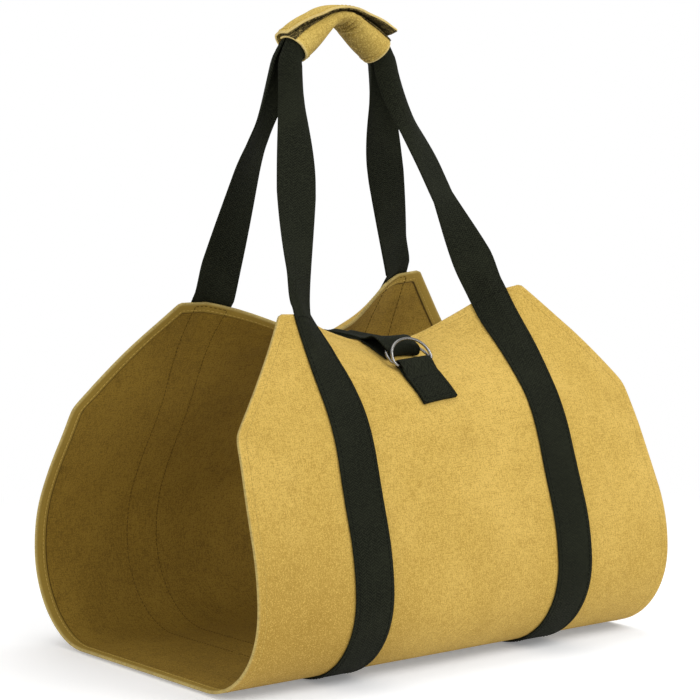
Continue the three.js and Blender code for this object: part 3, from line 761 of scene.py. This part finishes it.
def wrap_bumps(length, run, thickness):
    """How far the cloth is pushed in, and half its thickness: wrinkled in the bend, thicker at its hems."""
    leaned = length + WRINKLE["lean"] * (run - WRINKLE["run"])
    phase = math.pi * leaned / WRINKLE["length"] + WRINKLE["wander"] * patches(run, length, WRINKLE)
    wave = (1 + WRINKLE["crease"]) * np.abs(np.sin(phase)) - WRINKLE["crease"]
    near = hump(run, WRINKLE["run"], WRINKLE["wide"]) * hump(length, WRINKLE["middle"], WRINKLE["reach"])
    soft = WRAP_SOFT["height"] * patches(run, length, WRAP_SOFT) * smooth(run, 0, WRAP_SOFT["start"])
    hemmed = lambda edge: 1 - smooth(edge, WRAP_HEM["from"], WRAP_HEM["to"])
    ends = hemmed(ARCH_HALF - abs(length)) * smooth(run, 0, WRAP_HEM["start"])
    hem = np.maximum(ends, hemmed(run[-1] - run))
    return soft - WRINKLE["height"] * wave * near, thickness / 2 * (1 + WRAP_HEM["extra"] * hem)


def tape_bumps(length, run, thickness):
    return PILE["height"] * patches(run, length, PILE), np.full(len(run), thickness / 2)


# Closure
def tab_spot(p, q):
    """The x and the walk up the front wall of a place on the tab, p across and q up from the ring bar."""
    c, s = math.cos(math.radians(TAB_TILT)), math.sin(math.radians(TAB_TILT))
    return TAB_X + p * c - q * s, BAR_WALK + p * s + q * c


def tab_place(p, q, height):
    p, q = np.broadcast_arrays(np.asarray(p, float), np.asarray(q, float))
    return lifted(FRONT, *tab_spot(p, q), height)[0]


def ring_frame(ring):
    edge = np.array([-1, 1]) * CLOSURE_WIDTH / 2
    near, far = tab_place(edge, ring["bar"], 0.0), tab_place(edge, ring["bar"] + RING_DEPTH, 0.0)
    across = unit(near[1] - near[0])
    up = far.mean(axis=0) - near.mean(axis=0)
    up = unit(up - across * np.dot(up, across))
    out = np.cross(across, up)
    origin = near.mean(axis=0) + out * BAR_HEIGHT
    return origin, across, turned(up, across, ring["lift"]), turned(out, across, ring["lift"])


def ring_spot(axes, p, q, height):
    origin, across, up, out = axes
    p, q, height = (np.asarray(v, float)[..., None] for v in np.broadcast_arrays(p, q, height))
    return origin + across * p + up * q + out * height


CLOSURE_P = BAND_ACROSS * CLOSURE_WIDTH / 2
SPLINE_STEPS = 5
TAB_SHARES = (1, 0.87, 0.75, 0.62, 0.5, 0.4, 0.3)  # rows of the tab, from its foot up
BAR_TURN_ROWS = 7
SEWN_STEPS = 6
FOLD_STEPS = 6


def spline_rows(rows):
    """Rows between the given ones, on smooth curves through them."""
    rows = np.asarray(rows)
    padded = np.concatenate([2 * rows[:1] - rows[1:2], rows, 2 * rows[-1:] - rows[-2:-1]])
    out = []
    for k in range(1, len(padded) - 2):
        a, b, c, d = padded[k - 1 : k + 3]
        spans = (b - a, c - b, d - c)
        ab, bc, cd = (max(1e-6, float(np.linalg.norm(v, axis=1).mean()) ** 0.5) for v in spans)
        start = bc * ((b - a) / ab - (c - a) / (ab + bc) + (c - b) / bc)
        end = bc * ((c - b) / bc - (d - b) / (bc + cd) + (d - c) / cd)
        shares = np.arange(SPLINE_STEPS) / SPLINE_STEPS
        out += [bezier(b, b + start / 3, c - end / 3, c, s) for s in shares]
    out.append(rows[-1])
    return np.array(out)


def row_normals(rows):
    run = np.gradient(rows, axis=0)
    side = np.gradient(rows, axis=1)
    return unit(np.cross(run, side))


def ring_tab():
    axes = ring_frame({"bar": 0.0, "lift": 0})
    rows = [tab_place(CLOSURE_P, -TAB_LENGTH * share, STRAP_HEIGHT) for share in TAB_SHARES]
    rows.append(ring_spot(axes, CLOSURE_P, UPPER_RING["bar"], -ROUND_WIRE))
    for angle in np.linspace(0, math.pi, BAR_TURN_ROWS):
        rows.append(ring_spot(axes, CLOSURE_P, ROUND_WIRE * math.sin(angle), -ROUND_WIRE * math.cos(angle)))
    rows.append(ring_spot(axes, CLOSURE_P, UPPER_RING["bar"], ROUND_WIRE))
    rows += [tab_place(CLOSURE_P, -TAB_LENGTH * share, TAIL_HEIGHT) for share in TAB_SHARES[::-1]]
    rows = spline_rows(rows)
    return band("ring_tab_band", rows, row_normals(rows), CLOSURE)


def strap_place(wall, t, height):
    """A row of the closure strap on a wall."""
    return lifted(wall, TAB_X + CLOSURE_P, np.full(CLOSURE_P.shape, t), height)[0]


def top_direction(wall):
    """The way up a wall at its top edge, across the closure strap."""
    return frame_at(wall, TAB_X + CLOSURE_P, np.full(CLOSURE_P.shape, wall.total))[1]


def mouth_rows(height, start, end):
    a, d = strap_place(BACK, BACK.total, height), strap_place(FRONT, FRONT.total, height)
    reach = np.linalg.norm(d - a, axis=1)[:, None] / 3
    b, c = a + top_direction(BACK) * reach, d + top_direction(FRONT) * reach
    rows = []
    for k in range(1, MOUTH_STEPS + 1):
        s = mix(start, end, k / (MOUTH_STEPS + 1))
        row = bezier(a, b, c, d, s)
        row[:, 2] -= CLOSURE_SAG * math.sin(math.pi * s)
        rows.append(row)
    return rows


def closure_band():
    axes = ring_frame(LOWER_RING)
    sewn = BACK.total - CLOSURE_SEWN * np.arange(SEWN_STEPS, -1, -1) / SEWN_STEPS
    rows = [strap_place(BACK, t, STRAP_HEIGHT) for t in sewn]
    rows += mouth_rows(STRAP_HEIGHT, 0, 1)
    arc_walk = BAR_WALK + RING_DEPTH
    rows.append(strap_place(FRONT, FRONT.total, STRAP_HEIGHT))
    rows.append(strap_place(FRONT, mix(arc_walk, FRONT.total, 0.5), STRAP_HEIGHT))
    rows.append(tab_place(CLOSURE_P, RING_DEPTH, STRAP_HEIGHT))
    fold = mix(FOLD_PLACE["middle"], FOLD_PLACE["edge"], BAND_ACROSS ** 2)
    rows.append(tab_place(CLOSURE_P, mix(fold, RING_DEPTH, 0.5), STRAP_HEIGHT))
    start = tab_place(CLOSURE_P, fold, STRAP_HEIGHT)
    ahead = tab_place(CLOSURE_P, fold - FOLD_REACH, STRAP_HEIGHT)
    end = ring_spot(axes, CLOSURE_P, fold, ROUND_WIRE)
    before = end - axes[2] * FOLD_REACH
    rows += [bezier(start, ahead, before, end, s) for s in np.arange(FOLD_STEPS) / FOLD_STEPS]
    for q in (fold, RING_DEPTH, RING_DEPTH + TAIL_REACH):
        rows.append(ring_spot(axes, CLOSURE_P, q, ROUND_WIRE))
    for step in TAIL_LANDING:
        t = mix(arc_walk, FRONT.total, step["share"])
        rows.append(strap_place(FRONT, t, TAIL_HEIGHT + step["height"]))
    rows += mouth_rows(TAIL_HEIGHT, 1, TAIL_END)
    rows = spline_rows(rows)
    return band("closure_band", rows, row_normals(rows), CLOSURE)


RING_SIDES = 14
RING_STEPS = {"arc": 49, "corner": 10, "bar": 12}


def ring_wire(ring, name):
    turn = np.linspace(0, math.pi, RING_STEPS["arc"])
    arc = np.stack([RING_HALF * np.cos(turn), RING_CORNER + RING_ARC * np.sin(turn)], axis=1)
    s = np.linspace(0, 1, RING_STEPS["corner"])[:, None]
    corner = np.array([RING_HALF - RING_CORNER, 0]) * (1 - s) ** 2
    corner = corner + 2 * np.array([RING_HALF, 0]) * s * (1 - s) + np.array([RING_HALF, RING_CORNER]) * s ** 2
    mirrored = corner[::-1] * (-1, 1)
    bar = np.linspace(corner[0] * (-1, 1), corner[0], RING_STEPS["bar"])[1:-1]
    outline = np.concatenate([corner, arc[1:], mirrored[1:], bar])
    axes = ring_frame(ring)
    path = ring_spot(axes, outline[:, 0], outline[:, 1], 0.0)
    run = unit(np.roll(path, -1, axis=0) - np.roll(path, 1, axis=0))
    side = unit(np.cross(run, axes[3]))
    verts = (path[:, None] + WIRE * circles(RING_SIDES, side, np.cross(side, run))).reshape(-1, 3)
    faces = ring_faces(len(path) + 1, RING_SIDES) % len(verts)
    return outward(add_object(name, verts, faces.tolist()))


# Stitches: each ring of one has its place along it and its share of the radius
STITCH_RINGS = [
    {"place": -1.0, "share": 0.25},
    {"place": -0.72, "share": 0.8},
    {"place": 0.0, "share": 1.0},
    {"place": 0.72, "share": 0.8},
    {"place": 1.0, "share": 0.25},
]
STITCH_SIDES = 6
STITCH_RISE = 0.0001  # how far a stitch's middle stands off the cloth
SEAM_STEPS = {"side": 160, "top": 120, "span": 40, "strap": 150, "strap_end": 12, "box": 20, "flap": 80}
SEAM_CLEAR = 0.002  # from the end of a hem seam to a strap
STRAP_SEAM = {"start": 0.004, "top": 0.003}
TAB_BOX = 0.42  # share of the tab left above its sewn box
WRAP_SEAM = {"inset": 0.005, "start": 8}  # in from an edge, and the first point that is sewn


def stitches(line, normals):
    """Verts and faces of a row of stitches along a line of points."""
    run = run_along(line)
    count = int(run[-1] / STITCH_PITCH)
    at = (np.arange(count) + 0.5) * run[-1] / max(count, 1)
    middle = picked(line, run, at)
    ahead = unit(picked(line, run, at + STITCH_LENGTH / 2) - picked(line, run, at - STITCH_LENGTH / 2))
    normal = unit(picked(normals, run, at))
    around = circles(STITCH_SIDES, unit(np.cross(normal, ahead)), normal)
    rings = []
    for ring in STITCH_RINGS:
        spot = middle + ahead * ring["place"] * STITCH_LENGTH / 2
        rings.append(spot[:, None] + STITCH_RADIUS * ring["share"] * around)
    stride = len(STITCH_RINGS) * STITCH_SIDES
    one = tube_faces(len(STITCH_RINGS), STITCH_SIDES)
    faces = [[corner + k * stride for corner in face] for k in range(count) for face in one]
    return np.stack(rings, axis=1).reshape(-1, 3), faces


def stitch_piece(name, lines):
    verts, faces, start = [], [], 0
    for line, normals in lines:
        row_verts, row_faces = stitches(line, normals)
        verts.append(row_verts)
        faces += [[corner + start for corner in face] for face in row_faces]
        start += len(row_verts)
    return add_object(name, np.concatenate(verts), faces)


def on_cloth(wall, x, t, side, depth):
    """A seam on the cloth: side 1 is its outer face, and -1 its inner one, with depth to that face."""
    point, normal = lifted(wall, x, t, side * (depth + STITCH_RISE))
    return point, normal * side


def level_seam(wall, ends, t, side, depth, steps):
    """A seam straight across a wall."""
    x = np.linspace(*ends, steps)
    return on_cloth(wall, x, np.full(x.shape, t), side, depth)


def hem_seams():
    lines = []
    inside = CANVAS / 2 + HEM_EXTRA - GROOVE["depth"]
    outside = CANVAS / 2 - GROOVE["depth"]
    clear = WEBBING_WIDTH / 2 + SEAM_CLEAR
    for wall in WALLS:
        top = wall.total - HEM_STITCH
        t = np.linspace(0, top, SEAM_STEPS["side"])
        x = half_width(wall, t) - HEM_STITCH / edge_lean(wall, t)
        for sign in (-1, 1):
            lines.append(on_cloth(wall, sign * x, t, 1, outside))
            lines.append(on_cloth(wall, sign * x, t, -1, inside))
        far = x[-1]
        lines.append(level_seam(wall, (-far, far), top, -1, inside, SEAM_STEPS["top"]))
        stops = [-far]
        for strap in (-STRAP_X, TAB_X, STRAP_X):
            stops += [strap - clear, strap + clear]
        stops.append(far)
        for ends in zip(stops[::2], stops[1::2]):
            lines.append(level_seam(wall, ends, top, 1, outside, SEAM_STEPS["span"]))
    return lines


def strap_seams(side):
    """The seams that hold the webbing: on the webbing's own face, or on the canvas and its hem inside."""
    lines = []
    face = WEBBING_LIFT + WEBBING / 2 if side > 0 else CANVAS / 2
    for wall in WALLS:
        top = wall.total - STRAP_SEAM["top"]
        t = np.linspace(STRAP_SEAM["start"], top, SEAM_STEPS["strap"])
        depth = face + HEM_EXTRA * (t > wall.total - HEM_WIDTH) * (side < 0)
        for sign in (-1, 1):
            reach = strap_half(wall, sign, t) * (1 - 2 * STRAP_STITCH / WEBBING_WIDTH)
            for edge in (-1, 1):
                lines.append(on_cloth(wall, sign * STRAP_X + edge * reach, t, side, depth))
            ends = (sign * STRAP_X - reach[-1], sign * STRAP_X + reach[-1])
            lines.append(level_seam(wall, ends, top, side, depth[-1], SEAM_STEPS["strap_end"]))
    return lines


def box_sides(low, high, crossed=False):
    """Sides of a sewn box, across the strap and along it, with one diagonal if it is crossed."""
    half = CLOSURE_WIDTH / 2 - STRAP_STITCH
    corners = [(-half, low), (half, low), (half, high), (-half, high), (-half, low)]
    if crossed:
        corners.append((half, high))
    s = np.linspace(0, 1, SEAM_STEPS["box"])
    return [(mix(p0, p1, s), mix(q0, q1, s)) for (p0, q0), (p1, q1) in zip(corners, corners[1:])]


def closure_seams():
    """A sewn box at the foot of the tab, and one where the strap is sewn behind."""
    lines = []
    for p, q in box_sides(-TAB_LENGTH + STRAP_STITCH, -TAB_LENGTH * TAB_BOX):
        lines.append(on_cloth(FRONT, *tab_spot(p, q), 1, TAIL_HEIGHT + CLOSURE / 2))
    for p, t in box_sides(BACK.total - CLOSURE_SEWN + STRAP_STITCH, BACK.total - STRAP_STITCH, crossed=True):
        lines.append(on_cloth(BACK, TAB_X + p, t, 1, STRAP_HEIGHT + CLOSURE / 2))
    return lines


def wrap_seam_row(length):
    """Places on the wrap's outer face at a length along the arch, with normals and the section's run."""
    point, _, out = arch(length)
    section, normals, run, pushed, half = strip_row(wrap_section, wrap_bumps, CANVAS, length)
    spots = section + normals * (pushed - half - STITCH_RISE)[:, None]
    return arch_place(point, out, spots), -arch_place(0, out, normals), run


def wrap_seams():
    """Seams round both ends of the wrap and along the flap's free edge."""
    reach = ARCH_HALF - WRAP_SEAM["inset"]
    lines = []
    for length in (-reach, reach):
        places, normals, _ = wrap_seam_row(length)
        lines.append((places[WRAP_SEAM["start"]:], normals[WRAP_SEAM["start"]:]))
    flap = []
    for length in np.linspace(-reach, reach, SEAM_STEPS["flap"]):
        places, normals, run = wrap_seam_row(length)
        k = int(np.searchsorted(run, run[-1] - WRAP_SEAM["inset"]))
        flap.append((places[k], normals[k]))
    lines.append(tuple(np.array(rows) for rows in zip(*flap)))
    return lines


# Materials
class Graph:
    """The nodes of a material or a world, made one at a time."""

    def __init__(self, owner, shader):
        owner.use_nodes = True
        self.owner = owner
        self.tree = owner.node_tree
        self.shader = self.tree.nodes[shader]

    def put(self, socket, value):
        if isinstance(value, bpy.types.NodeSocket):
            self.tree.links.new(value, socket)
        else:
            socket.default_value = value

    def node(self, kind, inputs=(), output=0, **settings):
        made = self.tree.nodes.new(kind)
        for key, value in settings.items():
            setattr(made, key, value)
        for key, value in dict(inputs).items():
            self.put(made.inputs[key], value)
        return made.outputs[output]

    def math(self, operation, a, b=0.0):
        return self.node("ShaderNodeMath", {0: a, 1: b}, operation=operation)

    def times(self, first, *others):
        for other in others:
            first = self.math("MULTIPLY", first, other)
        return first

    def wave(self, value, pitch):
        return self.math("SINE", self.times(value, 2 * math.pi / pitch))

    def blend(self, factor, a, b):
        inputs = {MIX_COLOUR["factor"]: factor, MIX_COLOUR["a"]: a, MIX_COLOUR["b"]: b}
        return self.node("ShaderNodeMix", inputs, output=MIX_COLOUR["result"], data_type="RGBA")

    def noise(self, vector, scale, detail=3.0, roughness=0.55):
        inputs = {"Vector": vector, "Scale": scale, "Detail": detail, "Roughness": roughness}
        return self.node("ShaderNodeTexNoise", inputs)

    def spread(self, value, low, high):
        inputs = {"Value": value, "From Min": low, "From Max": high}
        return self.node("ShaderNodeMapRange", inputs, interpolation_type="SMOOTHSTEP")

    def tint(self, shade, tone, value, low, high, share=1.0):
        """A shade turned to another tone by a share, as a value goes from low to high."""
        return self.blend(self.times(self.spread(value, low, high), share), shade, tone)

    def speckle(self, shade, texture, dark, light, reach, share):
        """A shade darkened and lightened to both sides of a texture's middle."""
        shade = self.tint(shade, dark, texture, 0.5, 0.5 + reach, share)
        return self.tint(shade, light, texture, 0.5, 0.5 - reach, share)

    def hump(self, value, middle, reach):
        """One at the middle, falling smoothly to nothing past the reach."""
        off = self.math("DIVIDE", self.math("SUBTRACT", value, middle), reach)
        return self.math("EXPONENT", self.times(off, off, -1.0))

    def cloth(self):
        return self.node("ShaderNodeAttribute", output="Vector", attribute_name="cloth")

    def place(self):
        return self.node("ShaderNodeTexCoord", output="Object")

    def parts(self, vector):
        made = self.tree.nodes.new("ShaderNodeSeparateXYZ")
        self.tree.links.new(vector, made.inputs[0])
        return made.outputs

    def between(self, value, low, high):
        return self.node("ShaderNodeMapRange", {"Value": value, "To Min": low, "To Max": high})

    def bump(self, height, distance, strength=1.0, below=None):
        inputs = {"Height": height, "Distance": distance, "Strength": strength}
        if below is not None:
            inputs["Normal"] = below
        return self.node("ShaderNodeBump", inputs)

    def finish(self, sockets):
        for name, value in sockets.items():
            self.put(self.shader.inputs[name], value)
        return self.owner


def paint(name):
    """The nodes of a new material."""
    return Graph(bpy.data.materials.new(name), "Principled BSDF")


def colour(r, g, b):
    return (r, g, b, 1.0)


MIX_COLOUR = {"factor": 0, "a": 6, "b": 7, "result": 2}  # the colour sockets of a mix node
WEAVE = 0.00105  # thread to thread in the canvas
SLUBS = [(110.0, 900.0, 0.0), (900.0, 110.0, 0.0)]  # thick yarn, stretched along each way of the cloth
WORN = colour(0.70, 0.56, 0.26)
WORN_EDGE = {"from": 0.0022, "to": 0.0004}  # in from an edge
GREY_BOUNCE = colour(0.40, 0.40, 0.40)
RIB = 0.0023  # rib to rib in the webbing
YARN = 0.0046  # and two yarns across it
UNDERSIDE_SHADE = {"place": 0.057, "reach": 0.019}  # where painted shade darkens the wrap's underside, round from its start
CREASE_SHADE = {"x": 0.004, "along": 0.02, "place": 0.045, "reach": 0.016}  # and painted shade in the creases of its bend
# the tone of the painted shade under the grip and in its bend
PAINTED_SHADE_TONE = colour(0.105, 0.066, 0.01)
HEM_TONE = {"from": HEM_WIDTH + 0.0006, "to": HEM_WIDTH - 0.0002}
FOLD_SHADOW_LINE = {"place": HEM_WIDTH + 0.0008, "from": 0.001, "to": 0.0003}  # painted shadow beside the folded hem
FOLD_SHADOW_TONE = colour(0.045, 0.024, 0.004)
LOW_SHADE = {"from": 0.12, "to": 0.36, "end": 0.2}  # painted shade low on a wall, most towards one end
PILE_TONES = {
    "deep": colour(0.022, 0.016, 0.006),
    "fluff": colour(0.40, 0.30, 0.10),
    "worn": colour(0.05, 0.037, 0.013),
}


def canvas_material(name, base, light, dark, edge_light, bounce=0.0, underside_shade=0.0, hem=None, low_shade=0.0):
    """Waxed canvas: mottled by handling, speckled by its yarn, pale along its folded edges, with painted
    shade where asked: under the grip and in its bend, low on a wall, and beside a folded hem.
    """
    g = paint(name)
    cloth = g.cloth()
    x, t, edge = g.parts(cloth)
    mottle = g.noise(cloth, scale=9.0, detail=4.0, roughness=0.6)
    shade = g.tint(base, light, mottle, low=0.36, high=0.66)
    smudge = g.noise(cloth, scale=34.0, detail=5.0, roughness=0.65)
    shade = g.tint(shade, dark, smudge, low=0.5, high=0.74, share=0.42)
    for stretch in SLUBS:
        thread = g.node("ShaderNodeVectorMath", {0: cloth, 1: stretch}, operation="MULTIPLY")
        shade = g.speckle(shade, g.noise(thread, scale=1.0), dark, light, reach=0.16, share=0.42)
    # Painted shade: darker on the underside of the grip and in the creases of its bend.
    if underside_shade:
        shade_under = g.hump(t, UNDERSIDE_SHADE["place"], UNDERSIDE_SHADE["reach"])
        shade_in_crease = g.times(g.hump(t, CREASE_SHADE["place"], CREASE_SHADE["reach"]), g.hump(x, CREASE_SHADE["x"], CREASE_SHADE["along"]))
        patchy = g.spread(g.noise(cloth, scale=120.0, detail=4.0), low=0.1, high=0.5)
        shade = g.blend(g.times(g.math("MAXIMUM", shade_under, shade_in_crease), patchy, underside_shade), shade, PAINTED_SHADE_TONE)
    # Painted shade: darker low on a wall and towards its -X end.
    if low_shade:
        patchy = g.math("ADD", g.noise(cloth, scale=14.0, detail=4.0), g.spread(x, 0.0, -LOW_SHADE["end"]))
        low = g.spread(g.math("ABSOLUTE", t), LOW_SHADE["to"], LOW_SHADE["from"])
        shade = g.blend(g.times(low, patchy, low_shade), shade, dark)
    grain = g.noise(cloth, scale=820.0, detail=3.0, roughness=0.7)
    shade = g.speckle(shade, grain, dark, light, reach=0.14, share=0.75)
    if hem:
        shade = g.tint(shade, hem, edge, HEM_TONE["from"], HEM_TONE["to"], share=0.75)
        # A painted shadow: a dark line just past the hem's fold.
        past = g.math("ABSOLUTE", g.math("SUBTRACT", edge, FOLD_SHADOW_LINE["place"]))
        shade = g.tint(shade, FOLD_SHADOW_TONE, past, FOLD_SHADOW_LINE["from"], FOLD_SHADOW_LINE["to"], share=0.8)
    shade = g.tint(shade, WORN, edge, WORN_EDGE["from"], WORN_EDGE["to"], share=edge_light)
    if bounce:
        diffuse = g.node("ShaderNodeLightPath", output="Is Diffuse Ray")
        shade = g.blend(g.times(diffuse, bounce), shade, GREY_BOUNCE)
    normal = g.bump(g.times(g.wave(x, WEAVE), g.wave(t, WEAVE)), distance=0.00012, strength=0.6)
    normal = g.bump(grain, distance=0.0004, strength=0.4, below=normal)
    normal = g.bump(g.noise(cloth, scale=60.0), distance=0.0016, strength=0.35, below=normal)
    return g.finish({
        "Base Color": shade,
        "Roughness": g.between(grain, low=0.72, high=0.95),
        "Specular IOR Level": 0.2,
        "Normal": normal,
    })


def webbing_material(name, base, light):
    """Woven webbing: fine ribs across with a small zigzag, and a little dust on the raised yarn."""
    g = paint(name)
    cloth = g.cloth()
    x, t, _ = g.parts(cloth)
    zigzag = g.math("ADD", t, g.math("PINGPONG", x, YARN))
    raised = g.times(g.wave(zigzag, RIB), g.wave(x, YARN))
    grain = g.noise(cloth, scale=420.0, detail=4.0, roughness=0.75)
    dust = g.noise(cloth, scale=24.0, detail=4.0)
    shade = g.tint(base, light, raised, low=-0.3, high=0.7)
    shade = g.tint(shade, light, grain, low=0.5, high=0.66, share=0.8)
    shade = g.tint(shade, base, grain, low=0.5, high=0.36, share=0.7)
    shade = g.tint(shade, light, dust, low=0.45, high=0.7, share=0.3)
    normal = g.bump(raised, distance=0.00028, strength=0.7)
    normal = g.bump(grain, distance=0.0004, strength=0.5, below=normal)
    return g.finish({"Base Color": shade, "Roughness": 0.8, "Specular IOR Level": 0.08, "Normal": normal})


def tape_material():
    """Fuzzy hook-and-loop tape with lighter fluff caught in it."""
    g = paint("hook_and_loop_pile")
    cloth = g.cloth()
    fluff = g.noise(cloth, scale=560.0, detail=5.0, roughness=0.85)
    flat = g.noise(cloth, scale=180.0, detail=4.0)
    shade = g.tint(PILE_TONES["deep"], PILE_TONES["fluff"], fluff, low=0.46, high=0.64)
    shade = g.tint(shade, PILE_TONES["worn"], flat, low=0.5, high=0.66, share=0.6)
    normal = g.bump(fluff, distance=0.0011)
    return g.finish({"Base Color": shade, "Roughness": 0.95, "Specular IOR Level": 0.1, "Normal": normal})


def metal_material():
    """Nickel-plated wire with faint scratches."""
    g = paint("ring_nickel")
    scratch = g.noise(g.place(), scale=1500.0, detail=4.0, roughness=0.7)
    plate, worn = colour(0.31, 0.30, 0.28), colour(0.17, 0.165, 0.155)
    return g.finish({
        "Base Color": g.tint(plate, worn, scratch, low=0.45, high=0.7),
        "Metallic": 1.0,
        "Roughness": g.between(scratch, low=0.14, high=0.34),
        "Normal": g.bump(scratch, distance=0.00008, strength=0.3),
    })


def thread_material(name, base, light):
    g = paint(name)
    twist = g.noise(g.place(), scale=2200.0, detail=2.0)
    shade = g.tint(base, light, twist, low=0.35, high=0.7)
    normal = g.bump(twist, distance=0.0002, strength=0.4)
    return g.finish({"Base Color": shade, "Roughness": 0.7, "Specular IOR Level": 0.1, "Normal": normal})


def wear(piece, slot, nodes, *materials):
    """Sets a piece's materials and its body, and hides the CAD nodes that it stands for; the slot is not
    used.
    """
    for material in materials:
        piece.data.materials.append(material)
    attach(piece, "root")
    if nodes:
        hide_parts(*nodes)
    return piece


# Object
# The outer face, with painted shade low on its walls.
outside = canvas_material("canvas_outside", colour(0.57, 0.375, 0.075), colour(0.70, 0.475, 0.115),
                          colour(0.37, 0.225, 0.036), 0.12, bounce=0.8, low_shade=0.95)
# The inner face: its own darker tone, darkened further with painted shade of the sling's hollow.
inside = canvas_material("canvas_inside_painted_shade", colour(0.245, 0.146, 0.0165), colour(0.342, 0.212, 0.0277),
                         colour(0.13, 0.072, 0.0074), 0.2, hem=colour(0.38, 0.255, 0.045))
rim = canvas_material("canvas_edge", colour(0.31, 0.222, 0.052), colour(0.44, 0.325, 0.085),
                      colour(0.19, 0.125, 0.024), 0.2)
# The wrap, with painted shade under the grip and in its bend.
wrapped = canvas_material("canvas_wrap", colour(0.56, 0.38, 0.08), colour(0.71, 0.52, 0.135),
                          colour(0.34, 0.22, 0.038), 0.5, underside_shade=1.0)
black = webbing_material("webbing_black", colour(0.0045, 0.0052, 0.0024), colour(0.0215, 0.0242, 0.0134))
dark_thread = thread_material("thread_black", colour(0.0035, 0.004, 0.002), colour(0.009, 0.01, 0.0055))
brown_thread = thread_material("thread_brown", colour(0.085, 0.05, 0.007), colour(0.14, 0.083, 0.013))
tan_thread = thread_material("thread_tan", colour(0.48, 0.32, 0.07), colour(0.60, 0.42, 0.11))
pile = tape_material()
nickel = metal_material()

sling = wear(canvas_sling(), "canvas", ["canvas_body"], outside, inside, rim)
hem = wear(stitch_piece("hem_stitches", hem_seams()), "canvas", [], tan_thread)
wear(webbing_loop(FRONT, "front_loop"), "webbing", ["front_webbing"], black)
wear(webbing_loop(BACK, "back_loop"), "webbing", ["back_webbing"], black)
wear(stitch_piece("loop_stitches", strap_seams(1) + closure_seams()), "webbing", [], dark_thread)
inner_seams = wear(stitch_piece("inner_stitches", strap_seams(-1)), "webbing", [], brown_thread)
wrap = wear(arch_strip("wrap_cloth", wrap_section, CANVAS, wrap_bumps), "canvas", ["grip_wrap"], wrapped)
wrap_stitches = wear(stitch_piece("wrap_stitches", wrap_seams()), "canvas", [], tan_thread)
wear(arch_strip("loop_pile", tape_section, TAPE, tape_bumps), "hook_and_loop", ["loop_tape"], pile)
wear(arch_strip("hook_pile", hook_section, TAPE, tape_bumps), "hook_and_loop", ["hook_tape"], pile)
wear(closure_band(), "webbing", ["closure_strap"], black)
wear(ring_tab(), "webbing", ["ring_tab"], black)
wear(ring_wire(LOWER_RING, "lower_ring_wire"), "ring_metal", ["d_ring_lower"], nickel)
wear(ring_wire(UPPER_RING, "upper_ring_wire"), "ring_metal", ["d_ring_upper"], nickel)


# Stage
FLOOR_SIZE = 14.0
FLOOR_WHITE = {"from": 0.42, "to": 0.95}  # the floor glows white from this far out
FLOOR_TONE = colour(0.97, 0.97, 0.97)
FLOOR_GLOW = 0.19  # and this much close by


def stage():
    half = FLOOR_SIZE / 2
    corners = [(-half, -half, 0), (half, -half, 0), (half, half, 0), (-half, half, 0)]
    floor = add_object("floor", corners, [[0, 1, 2, 3]])
    g = paint("floor_paint")
    away = g.node("ShaderNodeVectorMath", {0: g.place()}, output="Value", operation="LENGTH")
    far = g.spread(away, FLOOR_WHITE["from"], FLOOR_WHITE["to"])
    floor.data.materials.append(g.finish({
        "Base Color": g.blend(far, FLOOR_TONE, colour(0.0, 0.0, 0.0)),
        "Emission Color": colour(1.0, 1.0, 1.0),
        "Emission Strength": g.between(far, FLOOR_GLOW, 1.0),
        "Roughness": 0.9,
        "Specular IOR Level": 0.0,
    }))


LAMPS = [
    {"name": "key", "place": (0.75, -1.65, 1.7), "size": 1.2, "power": 24},
    {"name": "fill", "place": (-2.7, -0.5, 0.8), "size": 2.0, "power": 17},
    {"name": "top", "place": (0.2, 0.4, 2.8), "size": 2.4, "power": 26},
]
LAMP_AIM = (0, 0, 0.25)
WORLD_LIGHT = 0.58


def lights():
    for row in LAMPS:
        data = bpy.data.lights.new(row["name"], "AREA")
        data.energy = row["power"]
        data.size = row["size"]
        lamp = placed(row["name"], data)
        lamp.location = row["place"]
        aim = Vector(LAMP_AIM) - lamp.location
        lamp.rotation_euler = aim.to_track_quat("-Z", "Y").to_euler()


def backdrop():
    """Soft white light from all round, and plain white behind the object."""
    world = bpy.data.worlds.new("studio")
    g = Graph(world, "Background")
    seen = g.node("ShaderNodeLightPath", output="Is Camera Ray")
    g.finish({"Color": colour(1.0, 1.0, 1.0), "Strength": g.between(seen, low=WORLD_LIGHT, high=1.0)})
    bpy.context.scene.world = world
    bpy.context.scene.view_settings.view_transform = "Standard"


def camera():
    a, e, r = (math.radians(v) for v in (AZIMUTH, ELEVATION, ROLL))
    back = Vector((math.sin(a) * math.cos(e), -math.cos(a) * math.cos(e), math.sin(e)))
    level = Vector((math.cos(a), math.sin(a), 0))
    tall = back.cross(level)
    right = level * math.cos(r) + tall * math.sin(r)
    up = tall * math.cos(r) - level * math.sin(r)
    place = Vector(TARGET) + right * TARGET_SHIFT[0] + up * TARGET_SHIFT[1] + back * DISTANCE
    data = bpy.data.cameras.new("camera")
    data.sensor_width = SENSOR
    data.lens = SENSOR * FOCAL_SHARE
    made = placed("camera", data)
    made.matrix_world = Matrix.Translation(place) @ Matrix((right, up, back)).transposed().to_4x4()
    bpy.context.scene.camera = made


stage()
lights()
backdrop()
camera()
